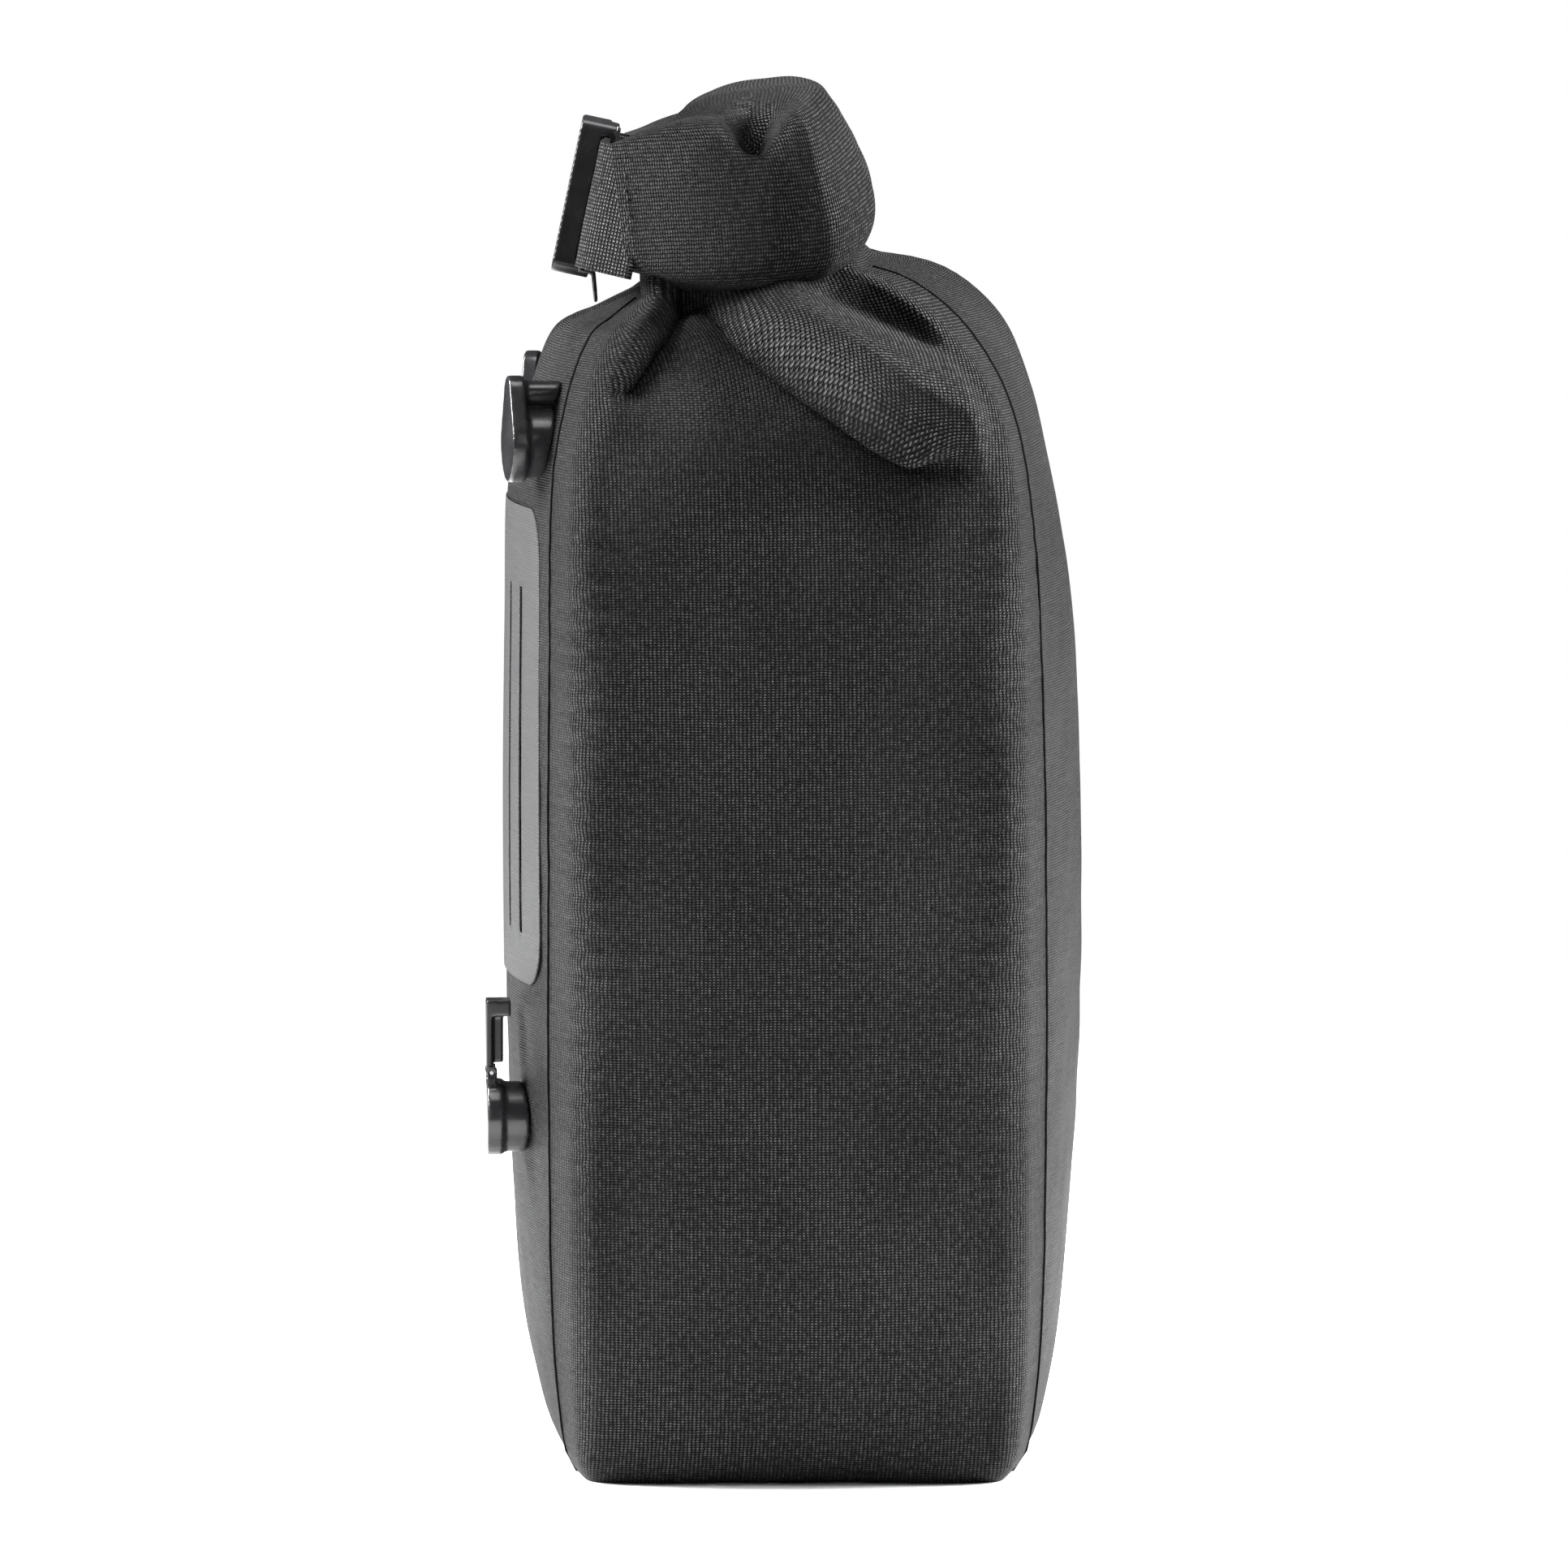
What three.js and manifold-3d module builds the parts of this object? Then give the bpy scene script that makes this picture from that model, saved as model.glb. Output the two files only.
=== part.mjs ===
// A roll-top pannier bag for a bicycle's rear rack, in millimetres.
// +Z is up, -X faces the rack, +X faces outwards and Y runs across the bag, along the bike.
// The origin is on the ground, under the middle of the bag's outer box.
import * as THREE from "three";
import { mergeVertices } from "three/addons/utils/BufferGeometryUtils.js";
import Module from "manifold-3d";

const wasm = await Module();
wasm.setup();

// ---------------------------------------------------------------- driving dimensions
const GAP = 0.3; // between solids that touch on the real bag
const WALL = 2; // coated fabric with its lining and welded tape
const FLOOR = 2.4; // the stiff bottom panel
const CORNER_ROOM = 3.4; // from a corner of the bag to the edge of its side gusset

// The bag's body, station by station from the ground to the mouth. rear and front are the X of the
// two seams of a side gusset, half is the seams' distance from the middle, and the bulges say how
// far the rear, the front and the sides swell past the straight lines between seams.
// tilt lifts a station's front by that much per millimetre of X.
const STATIONS = [
  { z: 0, rear: -57, front: 63.5, half: 106, rearBulge: 10.5, frontBulge: 10.5, sideBulge: 2, tilt: 0 },
  { z: 6, rear: -59.5, front: 67, half: 110.5, rearBulge: 12, frontBulge: 11.5, sideBulge: 3, tilt: 0 },
  { z: 18, rear: -60, front: 69, half: 113.5, rearBulge: 16, frontBulge: 12.7, sideBulge: 4, tilt: 0 },
  { z: 50, rear: -60.5, front: 70.5, half: 118, rearBulge: 21.5, frontBulge: 16, sideBulge: 6, tilt: 0 },
  { z: 115, rear: -60.5, front: 70, half: 126, rearBulge: 25, frontBulge: 21, sideBulge: 7, tilt: 0 },
  { z: 190, rear: -60.5, front: 69.5, half: 137, rearBulge: 26, frontBulge: 22.5, sideBulge: 7, tilt: 0 },
  { z: 257, rear: -60.5, front: 68.5, half: 147, rearBulge: 25.3, frontBulge: 20.8, sideBulge: 6, tilt: 0 },
  { z: 300, rear: -60, front: 66.5, half: 152, rearBulge: 24.7, frontBulge: 16, sideBulge: 5, tilt: 0 },
  { z: 327, rear: -56.5, front: 60.5, half: 150, rearBulge: 21.5, frontBulge: 15.5, sideBulge: 3, tilt: 0 },
  { z: 346, rear: -50, front: 47.5, half: 142, rearBulge: 20.7, frontBulge: 19.9, sideBulge: 1, tilt: 0.02 },
  { z: 357, rear: -44.5, front: 31, half: 135, rearBulge: 15, frontBulge: 18, sideBulge: 1, tilt: 0.12 },
  { z: 363, rear: -40, front: 20, half: 128, rearBulge: 4, frontBulge: 8, sideBulge: 1, tilt: 0.14 },
];

// The pegs that hang the bag on its rack: each stands on the rear panel, turned by its own angle
// about Z. A head with a narrow upper lobe caps the stem, and screws from inside hold it.
const PEGS = [
  { name: "upper_peg_left", y: -104, z: 313, turn: 11, lobe: true },
  { name: "upper_peg_right", y: 104, z: 313, turn: -11, lobe: true },
  { name: "lower_peg", y: -62, z: 106, turn: 4, lobe: false },
];
const PEG = { stemRadius: 10.8, stem: 6.6, headRadius: 11.8, head: 5, root: 12 };
const LOBE = { rise: 14.6, radius: 5.6, stemRadius: 4.1, plateCorner: 2 };
const SCREW = { shank: 2, bore: 2.3, head: 4, headHeight: 2.4, grip: 5 };
const SMALL_SCREW = { shank: 1.2, bore: 1.5, head: 2.4, headHeight: 1.8, grip: 5 };
const PEG_PLATE = { radius: 12.4, thickness: 1.8, corner: 4 };
const SCREW_SEAT = { lift: 0.9, sink: 3, floor: 0.8, socket: 0.45 }; // heads and their hexagon sockets

// The lower peg's lock lever: a sprung tongue that pivots just above the stem.
const LEVER = { pivotZ: 14, pivotX: -10.2, knuckle: 1.7, top: 36, halfWidth: 5, plate: 1.8 };
const LEVER_RIB = { low: 16.6, high: 31.4, half: 1.1, depth: 3.4 };
const LEVER_PAD = { low: 31, depth: 5.6 };
const LUG = { gap: 0.3, thickness: 1.7, low: 6, high: 15.9, depth: 3.2 };
const LEVER_PIN = { radius: 0.6, bore: 0.9, half: 6.6 };

// Stiffening board behind the rear panel, and the printed wear patch outside it.
const BOARD = { thickness: 2.4, low: 40, high: 324, reach: 0.84 };
const PATCH = { thickness: 0.8, low: 148, high: 293, reach: 0.72 };

// The rolled mouth, its two bent ends and the slat inside it.
const ROLL = { x: -4, z: 394.6, halfDepth: 32, halfHeight: 25.4, half: 112, tilt: 0.12 };
const ROLL_POWER = 2.5; // 2 is an ellipse, more is squarer
const RING_POINTS = 32;
const SLAT = { width: 30, thickness: 2.4, half: 110 };

// The strap and its side-release buckle. The strap's plane leans in at the top.
const STRAP = { width: 38, thickness: 1.8, x: -58.5, z: 384.5, lean: THREE.MathUtils.degToRad(12) };
// Where a strap leaves the straight, and the bend that takes it to the end of the roll.
const BEND = { y: 105, radius: 17, turn: THREE.MathUtils.degToRad(51), steps: 6 };
const BUCKLE = {
  mouthY: -20, // where the socket's mouth lies across the bag
  offset: 3.9, // from the strap's plane out to the buckle's middle plane
  halfWidth: 24,
  length: 34,
  halfThickness: 4.4,
  mouthHalf: 15.5, // half the cavity's width at the mouth
  flare: 0.3125, // how much the cavity widens per millimetre of depth
  cavity: 28,
  cavityHalf: 3.1,
  window: [15, 27], // the thumb windows' stretch of depth
  cavityEdge: 1.4, // how much narrower than its ramp the cavity's deep end is
  groove: [6, 26],
  grooves: { apart: 12, half: 1.2, depth: 0.5 }, // finger grooves on the outer face
  corner: 5,
  tail: 12, // how far the strap's bar reaches past the body
  overlap: 4, // how far that bar reaches into the body
  bar: 3.4, // from the strap's plane to the bag side of that bar
};
// The plug's ladder for the adjustable strap, and the guide tongue between its prongs.
const LADDER = { middle: -9.5, halfLength: 6.5, corner: 3.5, face: -4, slots: [-13.2, -8.2], slotWidth: 2.8 };
const GUIDE = { half: 3, length: 20, slotHalf: 19.5, slotFloor: 1.5, slotTop: -5 };
const PRONG = { root: -2, tip: 26, pivot: 10, thick: 2.6, arm: 4.2, hook: 1.4 };
const SLIDER = { y: 68, length: 16, halfWidth: 22.5, corner: 3, out: -2.6, inside: 2.2 };
const SLIDER_SLOT = { offset: 3.6, half: 1.6, up: 17 };
// A pull tag sewn to the strap's inner face: a strip, a fold and a hanging leaf.
const TAG = { y: -93, half: 4.5, length: 9.5, thickness: 1.2, out: 5, high: -10, fold: -19.6, turn: -17 };

// ---------------------------------------------------------------- materials
const material = (color, roughness, metalness = 0) =>
  new THREE.MeshStandardMaterial({ color, roughness, metalness });
const FABRIC = material(0x2b2b2b, 0.9);
const WEBBING = material(0x353535, 0.8);
const PLASTIC = material(0x141414, 0.35);
const BOARD_PLASTIC = material(0x1c1c1c, 0.6);
const PRINT = material(0x5a5a5a, 0.7);
const STEEL = material(0x9a9a9a, 0.35, 1);

// ---------------------------------------------------------------- mesh helpers
const root = new THREE.Group();

// A closed mesh from points and triangles, turned round where its faces point inwards.
function closedGeometry(points, triangles) {
  let volume = 0;
  for (const [a, b, c] of triangles)
    volume += points[a].dot(new THREE.Vector3().crossVectors(points[b], points[c]));
  const index = triangles.flatMap(([a, b, c]) => (volume > 0 ? [a, b, c] : [a, c, b]));
  const geometry = new THREE.BufferGeometry().setFromPoints(points);
  geometry.setIndex(index);
  return geometry;
}

function add(name, geometry, look, parent = root) {
  geometry.computeVertexNormals();
  const mesh = new THREE.Mesh(geometry, look);
  mesh.name = name;
  parent.add(mesh);
  return mesh;
}

// A sheet with thickness: outer(s, t) and inner(s, t) for s and t from 0 to 1, on a grid.
function sheetGeometry(outer, inner, across, along) {
  const points = [];
  const at = (side, i, j) => side * (across + 1) * (along + 1) + j * (across + 1) + i;
  for (const surface of [outer, inner])
    for (let j = 0; j <= along; j++)
      for (let i = 0; i <= across; i++) points.push(surface(i / across, j / along));
  const triangles = [];
  const quad = (a, b, c, d) => triangles.push([a, b, c], [a, c, d]);
  for (let j = 0; j < along; j++)
    for (let i = 0; i < across; i++) {
      quad(at(0, i, j), at(0, i + 1, j), at(0, i + 1, j + 1), at(0, i, j + 1));
      quad(at(1, i, j), at(1, i, j + 1), at(1, i + 1, j + 1), at(1, i + 1, j));
    }
  for (let i = 0; i < across; i++) {
    quad(at(0, i, 0), at(1, i, 0), at(1, i + 1, 0), at(0, i + 1, 0));
    quad(at(0, i + 1, along), at(1, i + 1, along), at(1, i, along), at(0, i, along));
  }
  for (let j = 0; j < along; j++) {
    quad(at(0, 0, j + 1), at(1, 0, j + 1), at(1, 0, j), at(0, 0, j));
    quad(at(0, across, j), at(1, across, j), at(1, across, j + 1), at(0, across, j + 1));
  }
  return closedGeometry(points, triangles);
}

// A tube through rings of equally many points, closed by a flat fan at each end.
function loftGeometry(rings) {
  const count = rings[0].length;
  const points = rings.flat();
  const triangles = [];
  for (let r = 0; r + 1 < rings.length; r++)
    for (let k = 0; k < count; k++) {
      const a = r * count + k;
      const b = r * count + ((k + 1) % count);
      triangles.push([a, b, b + count], [a, b + count, a + count]);
    }
  for (const [ring, flip] of [[0, true], [rings.length - 1, false]]) {
    const middle = rings[ring].reduce((sum, p) => sum.add(p), new THREE.Vector3()).divideScalar(count);
    points.push(middle);
    for (let k = 0; k < count; k++) {
      const a = ring * count + k;
      const b = ring * count + ((k + 1) % count);
      triangles.push(flip ? [b, a, points.length - 1] : [a, b, points.length - 1]);
    }
  }
  return closedGeometry(points, triangles);
}

function solidOf(geometry) {
  const bare = new THREE.BufferGeometry().setAttribute("position", geometry.getAttribute("position"));
  if (geometry.index) bare.setIndex(geometry.index);
  const merged = mergeVertices(bare, 1e-4);
  return new wasm.Manifold(
    new wasm.Mesh({
      numProp: 3,
      vertProperties: new Float32Array(merged.attributes.position.array),
      triVerts: new Uint32Array(merged.index.array),
    }),
  );
}

function geometryOf(solid) {
  const mesh = solid.getMesh();
  return new THREE.BufferGeometry()
    .setAttribute("position", new THREE.BufferAttribute(new Float32Array(mesh.vertProperties), 3))
    .setIndex(new THREE.BufferAttribute(new Uint32Array(mesh.triVerts), 1));
}

const cut = (solid, ...tools) => tools.reduce((left, tool) => left.subtract(tool), solid);
const join = (solid, ...more) => more.reduce((whole, piece) => whole.add(piece), solid);

// A block between two corners.
function block(low, high, place = null) {
  const [a, b] = [new THREE.Vector3(...low), new THREE.Vector3(...high)];
  const size = b.clone().sub(a);
  const middle = a.clone().add(b).multiplyScalar(0.5);
  const box = new THREE.BoxGeometry(size.x, size.y, size.z).translate(middle.x, middle.y, middle.z);
  return solidOf(place ? box.applyMatrix4(place) : box);
}

// A cylinder along X from one X to another.
function rodX(radius, fromX, toX, { y = 0, z = 0, sides = 24, place = null } = {}) {
  const rod = new THREE.CylinderGeometry(radius, radius, toX - fromX, sides);
  rod.rotateZ(Math.PI / 2).translate((fromX + toX) / 2, y, z);
  return solidOf(place ? rod.applyMatrix4(place) : rod);
}

// An outline in (along, up) pushed through a thickness that runs from one X to another.
// along becomes Y and up becomes Z, both moved by an offset.
function plateX(shape, fromX, toX, { y = 0, z = 0, curveSegments = 8, place = null } = {}) {
  const plate = new THREE.ExtrudeGeometry(shape, {
    depth: toX - fromX,
    bevelEnabled: false,
    curveSegments,
  });
  const turn = new THREE.Matrix4().makeBasis(
    new THREE.Vector3(0, 1, 0),
    new THREE.Vector3(0, 0, 1),
    new THREE.Vector3(1, 0, 0),
  );
  plate.applyMatrix4(turn).translate(fromX, y, z);
  return solidOf(place ? plate.applyMatrix4(place) : plate);
}

function roundedRectangle(halfLong, halfUp, radius) {
  const shape = new THREE.Shape();
  const [a, b, r] = [halfLong, halfUp, radius];
  shape.moveTo(-a + r, -b);
  shape.absarc(a - r, -b + r, r, -Math.PI / 2, 0, false);
  shape.absarc(a - r, b - r, r, 0, Math.PI / 2, false);
  shape.absarc(-a + r, b - r, r, Math.PI / 2, Math.PI, false);
  shape.absarc(-a + r, -b + r, r, Math.PI, 1.5 * Math.PI, false);
  return shape;
}

// ---------------------------------------------------------------- the bag's surface
// Catmull-Rom between stations: v runs from 0 at the ground to 1 at the mouth.
function station(v) {
  const place = Math.min(Math.max(v, 0), 1) * (STATIONS.length - 1);
  const i = Math.min(Math.floor(place), STATIONS.length - 2);
  const t = place - i;
  const pick = (k) => STATIONS[Math.min(Math.max(k, 0), STATIONS.length - 1)];
  const found = {};
  for (const key of Object.keys(STATIONS[0])) {
    const [a, b, c, d] = [pick(i - 1)[key], pick(i)[key], pick(i + 1)[key], pick(i + 2)[key]];
    found[key] =
      0.5 * (2 * b + (c - a) * t + (2 * a - 5 * b + 4 * c - d) * t * t + (3 * b - a - 3 * c + d) * t ** 3);
  }
  return found;
}

// The v at which the bag's middle reaches a height, found by halving.
function heightToV(z) {
  let [low, high] = [0, 1];
  for (let k = 0; k < 40; k++) {
    const middle = (low + high) / 2;
    if (station(middle).z < z) low = middle;
    else high = middle;
  }
  return (low + high) / 2;
}

// A wall of the bag at v; s runs from -1 to 1 along the wall.
const WALLS = {
  rear: (st, s) => [st.rear - st.rearBulge * (1 - s * s), s * st.half],
  front: (st, s) => [st.front + st.frontBulge * (1 - s * s), s * st.half],
  left: (st, s) => [
    (st.rear + st.front) / 2 + (s * (st.front - st.rear)) / 2,
    -st.half - st.sideBulge * (1 - s * s),
  ],
  right: (st, s) => [
    (st.rear + st.front) / 2 + (s * (st.front - st.rear)) / 2,
    st.half + st.sideBulge * (1 - s * s),
  ],
};
const MIDDLE = new THREE.Vector3(0, 0, 180);

function wallPoint(wall, s, v) {
  const st = station(v);
  const [x, y] = WALLS[wall](st, s);
  return new THREE.Vector3(x, y, st.z + st.tilt * x);
}

// The point of a wall moved in by depth along the surface's own normal.
function insetPoint(wall, s, v, depth) {
  const step = 1e-3;
  const point = wallPoint(wall, s, v);
  const alongS = wallPoint(wall, s + step, v).sub(wallPoint(wall, s - step, v));
  const lowV = Math.max(v - step, 0);
  const highV = Math.min(v + step, 1);
  const alongV = wallPoint(wall, s, highV).sub(wallPoint(wall, s, lowV));
  const normal = alongS.cross(alongV).normalize();
  if (normal.dot(MIDDLE.clone().sub(point)) < 0) normal.negate();
  return point.add(normal.multiplyScalar(depth));
}

// A piece of a wall between two depths and two v; reach(v) is how far s goes either way.
function wallPiece(wall, depths, reach, vRange, across, along) {
  const surface = (depth) => (a, b) => {
    const v = THREE.MathUtils.lerp(...vRange, b);
    return insetPoint(wall, reach(v) * (2 * a - 1), v, depth);
  };
  return sheetGeometry(surface(depths[0]), surface(depths[1]), across, along);
}

const whole = () => 1;

// The stretch of v that holds every peg.
const PEG_BAND = [heightToV(80), heightToV(340)];

// ---------------------------------------------------------------- screws and pegs
// Everything under a peg's foot, from the outside in: panel, board, plate.
const STACK = WALL + 2 * GAP + BOARD.thickness + 2 * GAP;
const PLATE_ROOM = 16; // more than a slanting plate or a screw's head needs past the stack

// A peg's own frame: the origin on the rear panel's outer face and -X straight out of the peg.
function pegPlace(peg) {
  const v = heightToV(peg.z);
  const foot = wallPoint("rear", peg.y / station(v).half, v);
  return new THREE.Matrix4()
    .makeTranslation(foot.x, foot.y, foot.z)
    .multiply(new THREE.Matrix4().makeRotationZ(THREE.MathUtils.degToRad(peg.turn)));
}

// Each screw's size, its height above the peg's middle and the peg it goes into.
const SCREWS = PEGS.flatMap((peg) => {
  const main = { peg, size: SCREW, rise: 0, name: `${peg.name}_screw` };
  const small = { peg, size: SMALL_SCREW, rise: LOBE.rise, name: `${peg.name}_lobe_screw` };
  return peg.lobe ? [main, small] : [main];
});

const boreOf = ({ peg, size, rise }) =>
  rodX(size.bore, -size.grip, STACK + PLATE_ROOM, { z: rise, sides: 16, place: pegPlace(peg) });
const screwBores = SCREWS.map(boreOf);

function addShell() {
  add("front_panel", wallPiece("front", [0, WALL], whole, [0, 1], 14, 22), FABRIC);
  const rear = solidOf(wallPiece("rear", [0, WALL], whole, [0, 1], 14, 22));
  add("rear_panel", geometryOf(cut(rear, ...screwBores)), FABRIC);
  // A gusset stops short of its corners, where the wide panels' edges lie.
  const short = (v) => {
    const st = station(v);
    return 1 - (2 * CORNER_ROOM) / (st.front - st.rear);
  };
  for (const side of ["left", "right"])
    add(`side_gusset_${side}`, wallPiece(side, [0, WALL], short, [0.02, 1], 8, 22), FABRIC);
}

function addBottom() {
  const foot = STATIONS[0];
  const inset = WALL + 4 * GAP;
  const middleX = (foot.rear + foot.front) / 2;
  const plate = new THREE.ExtrudeGeometry(
    roundedRectangle((foot.front - foot.rear) / 2 - inset, foot.half - inset, 6),
    { depth: FLOOR, bevelEnabled: false, curveSegments: 5 },
  );
  add("bottom_panel", plate.translate(middleX, 0, 0), FABRIC);
}

function addBackBoard() {
  const range = [heightToV(BOARD.low), heightToV(BOARD.high)];
  const near = WALL + 2 * GAP;
  const board = wallPiece("rear", [near, near + BOARD.thickness], () => BOARD.reach, range, 12, 16);
  add("back_stiffener", geometryOf(cut(solidOf(board), ...screwBores)), BOARD_PLASTIC);
}

function addPatch() {
  const range = [heightToV(PATCH.low), heightToV(PATCH.high)];
  const depths = [-GAP - PATCH.thickness, -GAP];
  add("rear_wear_patch", wallPiece("rear", depths, () => PATCH.reach, range, 10, 8), PRINT);
}

// The two ears on a head that hold the lock lever's pin.
function leverLugs(place) {
  const back = -PEG.stem - PEG.head;
  const inside = LEVER.halfWidth + LUG.gap;
  return [-1, 1].map((side) => {
    const [a, b] = [side * inside, side * (inside + LUG.thickness)].sort((m, n) => m - n);
    return block([back, a, LUG.low], [back + LUG.depth, b, LUG.high], place);
  });
}

// A rod across a peg, along its own Y.
function rodAcross(radius, half, x, z, place, sides = 16) {
  return solidOf(new THREE.CylinderGeometry(radius, radius, 2 * half, sides).translate(x, 0, z).applyMatrix4(place));
}

function addLever() {
  const peg = PEGS.find(({ lobe }) => !lobe);
  const place = pegPlace(peg);
  const back = -PEG.stem - PEG.head;
  const w = LEVER.halfWidth;
  const tongue = join(
    rodAcross(LEVER.knuckle, w, LEVER.pivotX, LEVER.pivotZ, place, 20),
    block([back, -w, LEVER.pivotZ], [back + LEVER.plate, w, LEVER.top], place),
    block(
      [back + 1, -LEVER_RIB.half, LEVER_RIB.low],
      [back + LEVER.plate + LEVER_RIB.depth, LEVER_RIB.half, LEVER_RIB.high],
      place,
    ),
    block([back + 1, -w, LEVER_PAD.low], [back + LEVER.plate + LEVER_PAD.depth, w, LEVER.top], place),
  );
  const bore = rodAcross(LEVER_PIN.bore, 20, LEVER.pivotX, LEVER.pivotZ, place);
  add("lock_lever", geometryOf(cut(tongue, bore)), PLASTIC);
  const pin = rodAcross(LEVER_PIN.radius, LEVER_PIN.half, LEVER.pivotX, LEVER.pivotZ, place);
  add("lock_lever_pin", geometryOf(pin), STEEL);
}

// A head's outline seen from behind: a disc, with a small lobe above it on a narrow neck.
function headShape(lobe) {
  const shape = new THREE.Shape();
  if (!lobe) return shape.absarc(0, 0, PEG.headRadius, 0, 2 * Math.PI, false);
  const lean = Math.asin((PEG.headRadius - LOBE.radius) / LOBE.rise);
  shape.absarc(0, 0, PEG.headRadius, Math.PI - lean, lean, false);
  shape.absarc(0, LOBE.rise, LOBE.radius, lean, Math.PI - lean, false);
  return shape;
}

function addPegs() {
  const outsideOfPanel = solidOf(wallPiece("rear", [-40, -GAP], () => 0.95, PEG_BAND, 14, 12));
  for (const peg of PEGS) {
    const place = pegPlace(peg);
    const headX = -PEG.stem - PEG.head;
    const parts = [
      plateX(headShape(peg.lobe), headX, -PEG.stem, { place, curveSegments: 12 }),
      rodX(PEG.stemRadius, -PEG.stem - 1, PEG.root, { place, sides: 28 }),
    ];
    if (peg.lobe)
      parts.push(rodX(LOBE.stemRadius, -PEG.stem - 1, PEG.root, { z: LOBE.rise, sides: 16, place }));
    else parts.push(...leverLugs(place));
    const pinBore = rodAcross(LEVER_PIN.bore, 20, LEVER.pivotX, LEVER.pivotZ, place);
    const trimmed = cut(join(...parts).intersect(outsideOfPanel), ...screwBores);
    add(peg.name, geometryOf(peg.lobe ? trimmed : cut(trimmed, pinBore)), PLASTIC);
  }
}

// Screws and the plates they clamp, inside the bag.
function addScrews() {
  const inner = [STACK, STACK + PEG_PLATE.thickness];
  const plateBand = solidOf(wallPiece("rear", inner, () => 0.9, PEG_BAND, 14, 12));
  const pastPlate = [STACK + PEG_PLATE.thickness + GAP, 30];
  const room = solidOf(wallPiece("rear", pastPlate, () => 0.9, PEG_BAND, 14, 12));
  for (const peg of PEGS) {
    const outline = roundedRectangle(PEG_PLATE.radius, PEG_PLATE.radius, PEG_PLATE.corner);
    const lobeOutline = roundedRectangle(LOBE.radius, LOBE.radius, LOBE.plateCorner);
    const place = pegPlace(peg);
    const through = STACK + PLATE_ROOM;
    const parts = [plateX(outline, 0, through, { place })];
    if (peg.lobe) parts.push(plateX(lobeOutline, 0, through, { z: LOBE.rise, place }));
    const plate = join(...parts).intersect(plateBand);
    add(`${peg.name}_plate`, geometryOf(cut(plate, ...screwBores)), STEEL);
  }
  for (const { peg, size, rise, name } of SCREWS) {
    const place = pegPlace(peg);
    const seat = screwSeat(peg, rise);
    const options = { z: rise, place };
    const { sink, floor, socket } = SCREW_SEAT;
    const shank = rodX(size.shank, -size.grip + GAP, seat + floor, { ...options, sides: 14 });
    const head = rodX(size.head, seat - sink, seat + size.headHeight, { ...options, sides: 20 });
    const recess = rodX(size.head * socket, seat + floor, seat + PLATE_ROOM, { ...options, sides: 6 });
    add(name, geometryOf(cut(join(shank, head.intersect(room)), recess)), STEEL);
  }
}

// How far in from a peg's origin its screw's head starts.
function screwSeat(peg, rise) {
  const place = pegPlace(peg);
  const start = new THREE.Vector3(0, 0, rise).applyMatrix4(place);
  const v = heightToV(start.z);
  const under = insetPoint("rear", start.y / station(v).half, v, STACK + PEG_PLATE.thickness);
  return (under.x - start.x) / Math.cos(THREE.MathUtils.degToRad(peg.turn)) + SCREW_SEAT.lift;
}

// ---------------------------------------------------------------- the rolled mouth
// A rounded section: half sizes a and b across two directions, squarer as power grows.
function roundedRing(centre, across, up, a, b, power, count) {
  return Array.from({ length: count }, (_, k) => {
    const angle = (2 * Math.PI * k) / count;
    const [c, s] = [Math.cos(angle), Math.sin(angle)];
    const side = (value) => Math.sign(value) * Math.abs(value) ** (2 / power);
    return centre
      .clone()
      .add(across.clone().multiplyScalar(a * side(c)))
      .add(up.clone().multiplyScalar(b * side(s)));
  });
}

function addRoll() {
  const across = new THREE.Vector3(1, 0, ROLL.tilt).normalize();
  const up = new THREE.Vector3(-ROLL.tilt, 0, 1).normalize();
  const ringAt = (y) =>
    roundedRing(
      new THREE.Vector3(ROLL.x, y, ROLL.z),
      across,
      up,
      ROLL.halfDepth,
      ROLL.halfHeight,
      ROLL_POWER,
      RING_POINTS,
    );
  const core = loftGeometry([-1, -0.5, 0, 0.5, 1].map((k) => ringAt(k * ROLL.half)));
  const room = block(
    [ROLL.x - SLAT.width / 2 - GAP, -ROLL.half - 5, ROLL.z - SLAT.thickness / 2 - GAP],
    [ROLL.x + SLAT.width / 2 + GAP, ROLL.half + 5, ROLL.z + SLAT.thickness / 2 + GAP],
  );
  add("roll_core", geometryOf(cut(solidOf(core), room)), FABRIC);
  const slat = block(
    [ROLL.x - SLAT.width / 2, -SLAT.half, ROLL.z - SLAT.thickness / 2],
    [ROLL.x + SLAT.width / 2, SLAT.half, ROLL.z + SLAT.thickness / 2],
  );
  add("mouth_slat", geometryOf(slat), BOARD_PLASTIC);
}

// One end of the roll, bent towards the rack: its sections flatten towards the strap.
// Each row holds the middle's x and distance from the bag's middle, the heading in degrees
// from straight outwards, half the thickness, the middle's height and half the height.
const WING = [
  [ROLL.x, ROLL.half + GAP, 0, ROLL.halfDepth, ROLL.z, ROLL.halfHeight],
  [-7.3, 121.6, 16, 27, 393.5, 25.5],
  [-15, 127.6, 32, 21, 391.5, 25],
  [-27, 129.2, 57, 13.5, 388, 23.5],
  [-38, 126.6, 85, 8, 385.5, 21.5],
  [-50, 121.5, 113, 4.6, 384, 19.6],
];

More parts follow.
